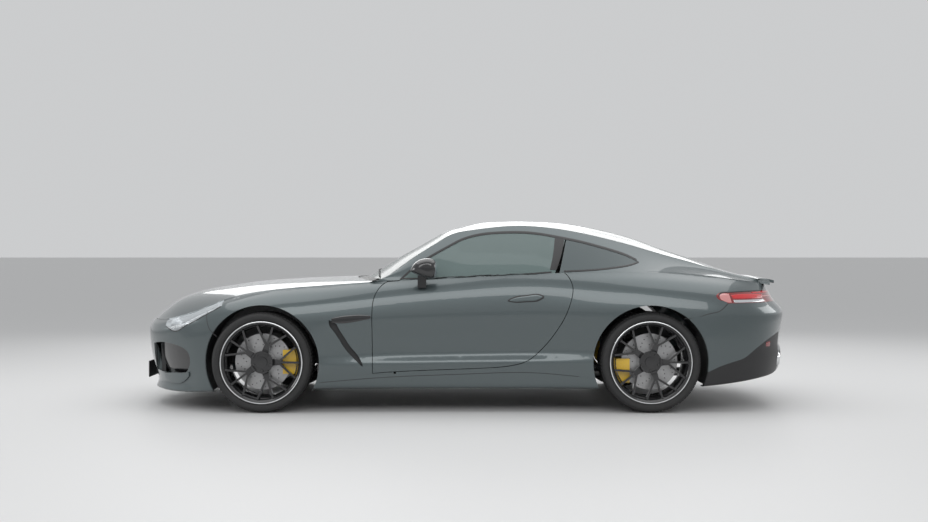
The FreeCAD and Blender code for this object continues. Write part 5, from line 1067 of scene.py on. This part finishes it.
# Width, length, thickness, channels and their depth; place from the seat's middle; tilt
lean = math.atan2(seat["backTop"][1] - seat["backFoot"][1], seat["backTop"][0] - seat["backFoot"][0])
seatParts = {
    "cushion": ((0.36, 0.50, 0.16, 5, 0.012), (0.190, 0.0, 0.375), seat["tilt"]),
    "cushionWingIn": ((0.12, 0.52, 0.17), (0.185, 0.195, 0.395), seat["tilt"]),
    "cushionWingOut": ((0.12, 0.52, 0.17), (0.185, -0.195, 0.395), seat["tilt"]),
    "back": ((0.34, 0.60, 0.13, 6, 0.012), (0.520, 0.0, 0.715), -lean),
    "backWingIn": ((0.12, 0.52, 0.19), (0.505, 0.195, 0.700), -lean),
    "backWingOut": ((0.12, 0.52, 0.19), (0.505, -0.195, 0.700), -lean),
    "headrest": ((0.27, 0.20, 0.11), (0.632, 0.0, 1.060), -lean - 0.10),
}
for side, sign in (("left", -1), ("right", 1)):
    middle = seat["middle"] * sign
    for part, (size, (x, y, z), tilt) in seatParts.items():
        item = padded("seat_%s_%s" % (side, part), size, (x, middle + y, z), tilt)
        if part == "cushion":
            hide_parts("front_seats")
    low, high = (-0.30, middle - 0.235, -0.035), (0.34, middle + 0.235, 0.030)
    shellBack = rounded("seat_%s_shell" % side, low, high, 0.03, "blackSatin", 4)
    finished(settled(shellBack, (0.585, 0, 0.69), (0, -lean, 0)), None, "car")
    low, high = (-0.02, middle - 0.20, 0.186), (0.42, middle + 0.20, 0.318)
    base = rounded("seat_%s_base" % side, low, high, 0.03, "blackMoulded")
    finished(base, None, "car")
rearParts = {
    "rearCushion": ((0.50, 0.30, 0.13, 3, 0.010), (0.930, 0.558), math.radians(-3)),
    "rearBack": ((0.50, 0.46, 0.11, 3, 0.010), (1.118, 0.712), math.radians(-66)),
}
for k, y in enumerate((-0.29, 0.29)):
    for name, (size, (x, z), tilt) in rearParts.items():
        padded("%s_%d" % (name, k), size, (x, y, z), tilt)

# Low corner, high corner, edge radius, finish, bevel segments and slot; some are turned into place
cabinBoxes = {
    "centreConsole": ((-0.62, -0.115, 0.395), (0.62, 0.115, 0.560), 0.03, "blackMoulded", 4, "cabin_plastic"),
    "consoleArmrest": ((0.16, -0.095, 0.555), (0.56, 0.095, 0.625), 0.028, "leather", 4, "upholstery"),
    "dashScreen": ((-0.006, -0.13, -0.11), (0.006, 0.13, 0.11), 0.005, "screen", 2, "cabin_plastic"),
    "instrumentHood": ((-0.10, -0.17, -0.02), (0.06, 0.17, 0.022), 0.018, "leather", 4, "cabin_plastic"),
    "carpet": ((-0.93, -0.80, 0.1835), (0.90, 0.80, 0.1895), 0.002, "carpet", 1, "upholstery"),
}
cabinPlaces = {
    "dashScreen": ((-0.385, 0, 0.72), (0, math.radians(-28), 0)),
    "instrumentHood": ((-0.445, -seat["middle"], 0.905), (0, 0, 0)),
}
for name, (low, high, radius, finish, segments, slot) in cabinBoxes.items():
    item = rounded(name, low, high, radius, finish, segments)
    if name in cabinPlaces:
        settled(item, *cabinPlaces[name])
    finished(item, None, "car")
print("cabin")


# Small things: plates, badge discs, lamp insides, pipes, valance, mirror glass, wipers, door trim
def touch(node, start, direction):
    target = bpy.data.objects.get(node + "_finish") or frame["nodes"][node]
    hit, place, normal, _ = target.ray_cast(Vector(start), Vector(direction))
    return (place, normal) if hit else (None, None)


def facing(item, place, normal):
    item.rotation_mode = "QUATERNION"
    item.rotation_quaternion = Vector((0, -1, 0)).rotation_difference(normal)
    item.location = place
    baked(item)
    item.rotation_mode = "XYZ"
    return item


sides, away = (("left", -1), ("right", 1)), 3.0
plates = {
    "half": 0.26, "high": 0.111, "rim": 0.005, "holder": 0.004, "face": 0.0045, "sheet": 0.0012,
    "border": 0.004, "step": 0.001, "sunk": 0.0008, "frontX": -2.357, "frontZ": 0.240, "rearZ": 0.495,
    "bumperZ": 0.545, "standOff": 0.002, "boxMargin": 0.007, "facing": 0.95, "leastArea": 0.02,
}


def plateBox(name, x, z, depth, rim, radius, finish, segments=3):
    half, high = plates["half"] + rim, plates["high"] / 2 + rim
    return rounded(name, (x - depth, -half, z - high), (x + depth, half, z + high), radius, finish, segments)


def plate(name, x, z, sign):
    back = plateBox(name + "Holder", x, z, plates["holder"], plates["rim"], 0.003, "blackMoulded")
    front = plateBox(name, x + sign * plates["face"], z, plates["sheet"], 0.0, 0.001, "plate", 2)
    editMode("DESELECT")
    objectMode()
    for side in front.data.polygons:
        side.select = side.normal.x * sign > plates["facing"] and side.area > plates["leastArea"]
    bpy.ops.object.mode_set(mode="EDIT")
    bpy.ops.mesh.inset(thickness=plates["border"])
    bpy.ops.mesh.inset(thickness=plates["step"], depth=-plates["sunk"])
    objectMode()
    return back, front


rearPlace, _ = touch("rear_bumper", (away, 0.0, plates["bumperZ"]), (-1, 0, 0))
rearX = min(rearPlace.x + plates["standOff"], cadBox[1][0] - plates["boxMargin"])
for name, x, z, sign in (
    ("plateFront", plates["frontX"], plates["frontZ"], -1), ("plateRear", rearX, plates["rearZ"], 1),
):
    for item in plate(name, x, z, sign):
        finished(item, None, "car")

discProfile = [
    (0.0, -0.0042), (0.010, -0.0040), (0.022, -0.0032), (0.030, -0.0020), (0.0335, -0.0036),
    (0.0360, -0.0022), (0.0362, 0.0006), (0.0, 0.0006)
]
badges = {
    "badgeFront": ("front_bumper", (-away, 0.0, 0.600), (1, 0, 0)),
    "badgeRear": ("tailgate", (away, 0.0, 0.86), (-1, 0, 0)),
}
for name, (node, start, direction) in badges.items():
    place, normal = touch(node, start, direction)
    if place:
        badge = facing(lathe(name, discProfile, 48, "brushed"), place, normal)
        finished(badge, None, bodyOf[node])

projectorProfile = [
    (0.0, -0.006), (0.008, -0.0072), (0.0135, -0.0068), (0.0155, -0.0085), (0.0185, -0.0110),
    (0.0205, -0.0105), (0.0212, -0.0060), (0.0205, 0.0), (0.0, 0.0)
]
projectors = ((170, 320), (184, 313), (198, 307))
for k, (px, py) in enumerate(projectors):
    x, z = sidePoint(px, py)
    for side, sign in sides:
        place, _ = touch("headlamp_units", (x, sign * 1.2, z), (0, -sign, 0))
        if place:
            projector = lathe("projector_%s_%d" % (side, k), projectorProfile, 32, "whiteLight")
            facing(projector, place, Vector((-0.6, sign, 0.0)).normalized())
            finished(projector, None, "car")

tips = {"x": 2.204, "y": 0.600, "z": 0.352}
tipProfile = [
    (0.0445, 0.0), (0.0445, -0.060), (0.0470, -0.0625), (0.0505, -0.0625), (0.0530, -0.0590), (0.0530, 0.0),
    (0.0445, 0.0)
]
for side, sign in sides:
    tip = lathe("tailPipe_" + side, tipProfile, 64, "brightTrim")
    facing(tip, Vector((tips["x"], sign * tips["y"], tips["z"])), Vector((1, 0, 0)))
    finished(tip, None, "car")

# A satin strip over the rear bumper's lower middle, and the fins that stand on it
valance = {
    "half": 0.53, "low": 0.215, "high": 0.352, "lift": 0.0012, "sheet": 0.0012, "finOut": 0.016,
    "finIn": 0.012, "finThick": 0.007, "finHigh": 0.325, "fins": (-0.30, -0.10, 0.10, 0.30),
    "rows": 11, "columns": 48, "finRows": 9,
}


def behind(y, z):
    for node in ("rear_bumper", "rear_diffuser"):
        place, normal = touch(node, (away, y, z), (-1, 0, 0))
        if place:
            return place + normal * valance["lift"]
    return None


rows = []
columns = valance["columns"]
for i in range(valance["rows"] + 1):
    z = valance["low"] + (valance["high"] - valance["low"]) * i / valance["rows"]
    row = [behind(valance["half"] * (2 * j / columns - 1), z) for j in range(columns + 1)]
    if all(row):
        rows.append(row)
strip = thickened(gridMesh("rearValance", rows), valance["sheet"], "blackSatin")
finished(strip, None, "car")
finLow, finRows = rows[0][0].z, valance["finRows"]
for k, y in enumerate(valance["fins"]):
    levelsUp = [finLow + (valance["finHigh"] - finLow) * i / finRows for i in range(finRows + 1)]
    edge = [place for place in (behind(y, z) for z in levelsUp) if place]
    rows = []
    for i, place in enumerate(edge):
        out = valance["finOut"] * (1 - i / len(edge))
        rows.append([place - Vector((valance["finIn"], 0, 0)), place + Vector((out, 0, 0))])
    blade = thickened(gridMesh("diffuserFin_%d" % k, rows), valance["finThick"], "blackSatin")
    finished(blade, None, "car")

# Light bars on the tail lamps, as seen from behind
glow = {
    "near": 0.455, "far": 0.80, "lift": 0.0012, "steps": 30, "least": 6,
    "bars": ((0.853, 0.862, "redLight"), (0.826, 0.834, "redLight"), (0.800, 0.806, "paleRed"))
}
for side, sign in sides:
    reach, steps = glow["far"] - glow["near"], glow["steps"]
    spots = [sign * (glow["near"] + reach * j / steps) for j in range(steps + 1)]
    for k, (low, high, finish) in enumerate(glow["bars"]):
        rows = []
        for i in range(3):
            z = low + (high - low) * i / 2
            row = [touch("tail_lamps", (away, y, z), (-1, 0, 0)) for y in spots]
            rows.append([place + normal * glow["lift"] for place, normal in row if place])
        length = min(len(row) for row in rows)
        if length > glow["least"]:
            bar = gridMesh("tailLampGlow_%s_%d" % (side, k), [row[:length] for row in rows])
            finished(thickened(bar, glow["lift"], finish), None, "car")

mirrorFace = {
    "low": 0.948, "high": 0.094, "inner": 0.922, "wide": 0.118, "middle": 0.981, "pinch": 0.22,
    "lift": 0.0012, "thick": 0.0010, "rows": 12, "columns": 16,
}
for side, sign in sides:
    node = "door_mirror_" + side
    rows = []
    for i in range(mirrorFace["rows"] + 1):
        row = []
        spread = 1 - abs(-1 + 2 * i / mirrorFace["rows"]) ** 3 * mirrorFace["pinch"]
        z = mirrorFace["low"] + mirrorFace["high"] * i / mirrorFace["rows"]
        for j in range(mirrorFace["columns"] + 1):
            y = mirrorFace["inner"] + mirrorFace["wide"] * j / mirrorFace["columns"]
            y = sign * (mirrorFace["middle"] + (y - mirrorFace["middle"]) * spread)
            place, _ = touch(node, (0.0, y, z), (-1, 0, 0))
            row.append((place + Vector((mirrorFace["lift"], 0, 0))) if place else None)
        if all(row):
            rows.append(row)
    glass = thickened(gridMesh("mirrorGlass_" + side, rows), mirrorFace["thick"], "mirrorGlass")
    finished(glass, None, bodyOf[node])


def threadLine(name, points, radius, finish):
    curve = bpy.data.curves.new(name, "CURVE")
    curve.dimensions, curve.bevel_depth, curve.bevel_resolution = "3D", radius, 2
    line = curve.splines.new("POLY")
    line.points.add(len(points) - 1)
    for point, place in zip(line.points, points):
        point.co = (*place, 1)
    item = bpy.data.objects.new(name, curve)
    bpy.context.scene.collection.objects.link(item)
    alone(item)
    bpy.ops.object.convert(target="MESH")
    return paintAs(bpy.context.object, finish)


wipers = {
    "reach": ((-0.66, -0.02), (0.02, 0.62)), "radius": 0.0042, "lift": 0.007, "x": -0.60, "bow": 0.05,
    "half": 0.7, "steps": 12,
}
for k, (y0, y1) in enumerate(wipers["reach"]):
    line = []
    for i in range(wipers["steps"] + 1):
        y = y0 + (y1 - y0) * i / wipers["steps"]
        x = wipers["x"] - wipers["bow"] * (1 - abs(y) / wipers["half"])
        place, normal = touch("windscreen", (x, y, 1.6), (0, 0, -1))
        if place:
            line.append(place + normal * wipers["lift"])
    wiper = threadLine("wiper_%d" % k, line, wipers["radius"], "blackMoulded")
    finished(wiper, None, "car")

card = {
    "front": -0.30, "rear": 0.28, "low": 0.585, "high": 0.640, "depth": 0.060, "bury": 0.004,
    "radius": 0.020, "speaker": (-0.36, 0.34),
}
speakerProfile = [
    (0.0, -0.003), (0.062, -0.003), (0.066, -0.007), (0.078, -0.006), (0.080, 0.0), (0.0, 0.0)
]
for side, sign in sides:
    body = "door_" + side
    inner, _ = touch(body, (0.0, 0.0, card["low"]), (0, sign, 0))
    y0, y1 = sorted((inner.y + sign * card["bury"], inner.y - sign * card["depth"]))
    low, high = (card["front"], y0, card["low"]), (card["rear"], y1, card["high"])
    armrest = rounded("doorArmrest_" + side, low, high, card["radius"], "leather", 4)
    finished(armrest, None, body)
    x, z = card["speaker"]
    place, _ = touch(body, (x, 0.0, z), (0, sign, 0))
    speaker = lathe("doorSpeaker_" + side, speakerProfile, 48, "screen")
    finished(facing(speaker, place, Vector((0, -sign, 0))), None, body)

insideMirror = {
    "x": -0.27, "half": 0.112, "drop": 0.030, "high": 0.055, "thick": 0.022, "radius": 0.008,
    "stemFrom": 0.004, "stemTo": 0.018, "stemHalf": 0.012, "stemDrop": 0.010, "stemRadius": 0.003,
    "gap": 0.002,
}
glassPlace, _ = touch("windscreen", (insideMirror["x"], 0.0, 0.95), (0, 0, 1))
x, half, top = insideMirror["x"], insideMirror["half"], glassPlace.z - insideMirror["drop"]
low, high = (x, -half, top - insideMirror["high"]), (x + insideMirror["thick"], half, top)
mirrorBody = rounded("insideMirror", low, high, insideMirror["radius"], "blackMoulded")
half = insideMirror["stemHalf"]
low = (x + insideMirror["stemFrom"], -half, top - insideMirror["stemDrop"])
high = (x + insideMirror["stemTo"], half, glassPlace.z - insideMirror["gap"])
stem = rounded("insideMirrorStem", low, high, insideMirror["stemRadius"], "blackMoulded", 2)
finished(joined("insideMirror", mirrorBody, stem), None, "car")
print("small pieces")

# Stage: the photograph's side view, a plain pale floor and soft studio light
stage = {
    "sensor": 36.0, "lens": 1219.0 / 928.0 * 36.0, "camera": (0.0, -9.39, 1.123),
    "pitch": math.radians(90.0 - 0.47), "floor": 400.0, "floorColor": (0.62, 0.62, 0.62),
    "floorRoughness": 0.55, "skyColor": (0.80, 0.81, 0.82), "skyPower": 0.75,
}
alone(*[o for o in bpy.data.objects if o.type == "MESH"][:1])
bpy.ops.mesh.primitive_plane_add(size=stage["floor"], location=(0, 0, 0))
floor = bpy.context.object
floor.name = "floor"
floorFinish = Shader("pale floor", Base_Color=stage["floorColor"], Roughness=stage["floorRoughness"])
floor.data.materials.append(floorFinish.material)
cameraData = bpy.data.cameras.new("camera")
cameraData.lens, cameraData.sensor_width = stage["lens"], stage["sensor"]
camera = bpy.data.objects.new("camera", cameraData)
camera.location, camera.rotation_euler = stage["camera"], (stage["pitch"], 0, 0)
bpy.context.scene.collection.objects.link(camera)
bpy.context.scene.camera = camera
world = bpy.data.worlds.new("studio")
world.use_nodes = True
background = world.node_tree.nodes["Background"]
background.inputs[0].default_value = (*stage["skyColor"], 1)
background.inputs[1].default_value = stage["skyPower"]
bpy.context.scene.world = world
bpy.context.scene.view_settings.view_transform = "Standard"

# Place, turn, size and power of each soft lamp
softboxes = {
    "overhead": ((0, 0, 4.6), (0, 0, 0), (8.0, 5.0), 150),
    "leftStrip": ((0, -6.0, 3.4), (math.radians(60), 0, 0), (8.0, 2.2), 125),
    "rightStrip": ((0, 6.0, 3.4), (math.radians(-60), 0, 0), (8.0, 2.2), 100),
    "frontFill": ((-7.5, -1.0, 2.6), (0, math.radians(-72), 0), (2.0, 4.0), 75),
    "rearFill": ((7.5, 1.0, 2.6), (0, math.radians(72), 0), (2.0, 4.0), 65),
}
for name, (place, turn, size, power) in softboxes.items():
    lamp = bpy.data.lights.new(name, "AREA")
    lamp.shape, lamp.size, lamp.size_y, lamp.energy = "RECTANGLE", size[0], size[1], power
    item = bpy.data.objects.new(name, lamp)
    item.location, item.rotation_euler = place, turn
    bpy.context.scene.collection.objects.link(item)
print("stage")
bpy.context.view_layer.update()
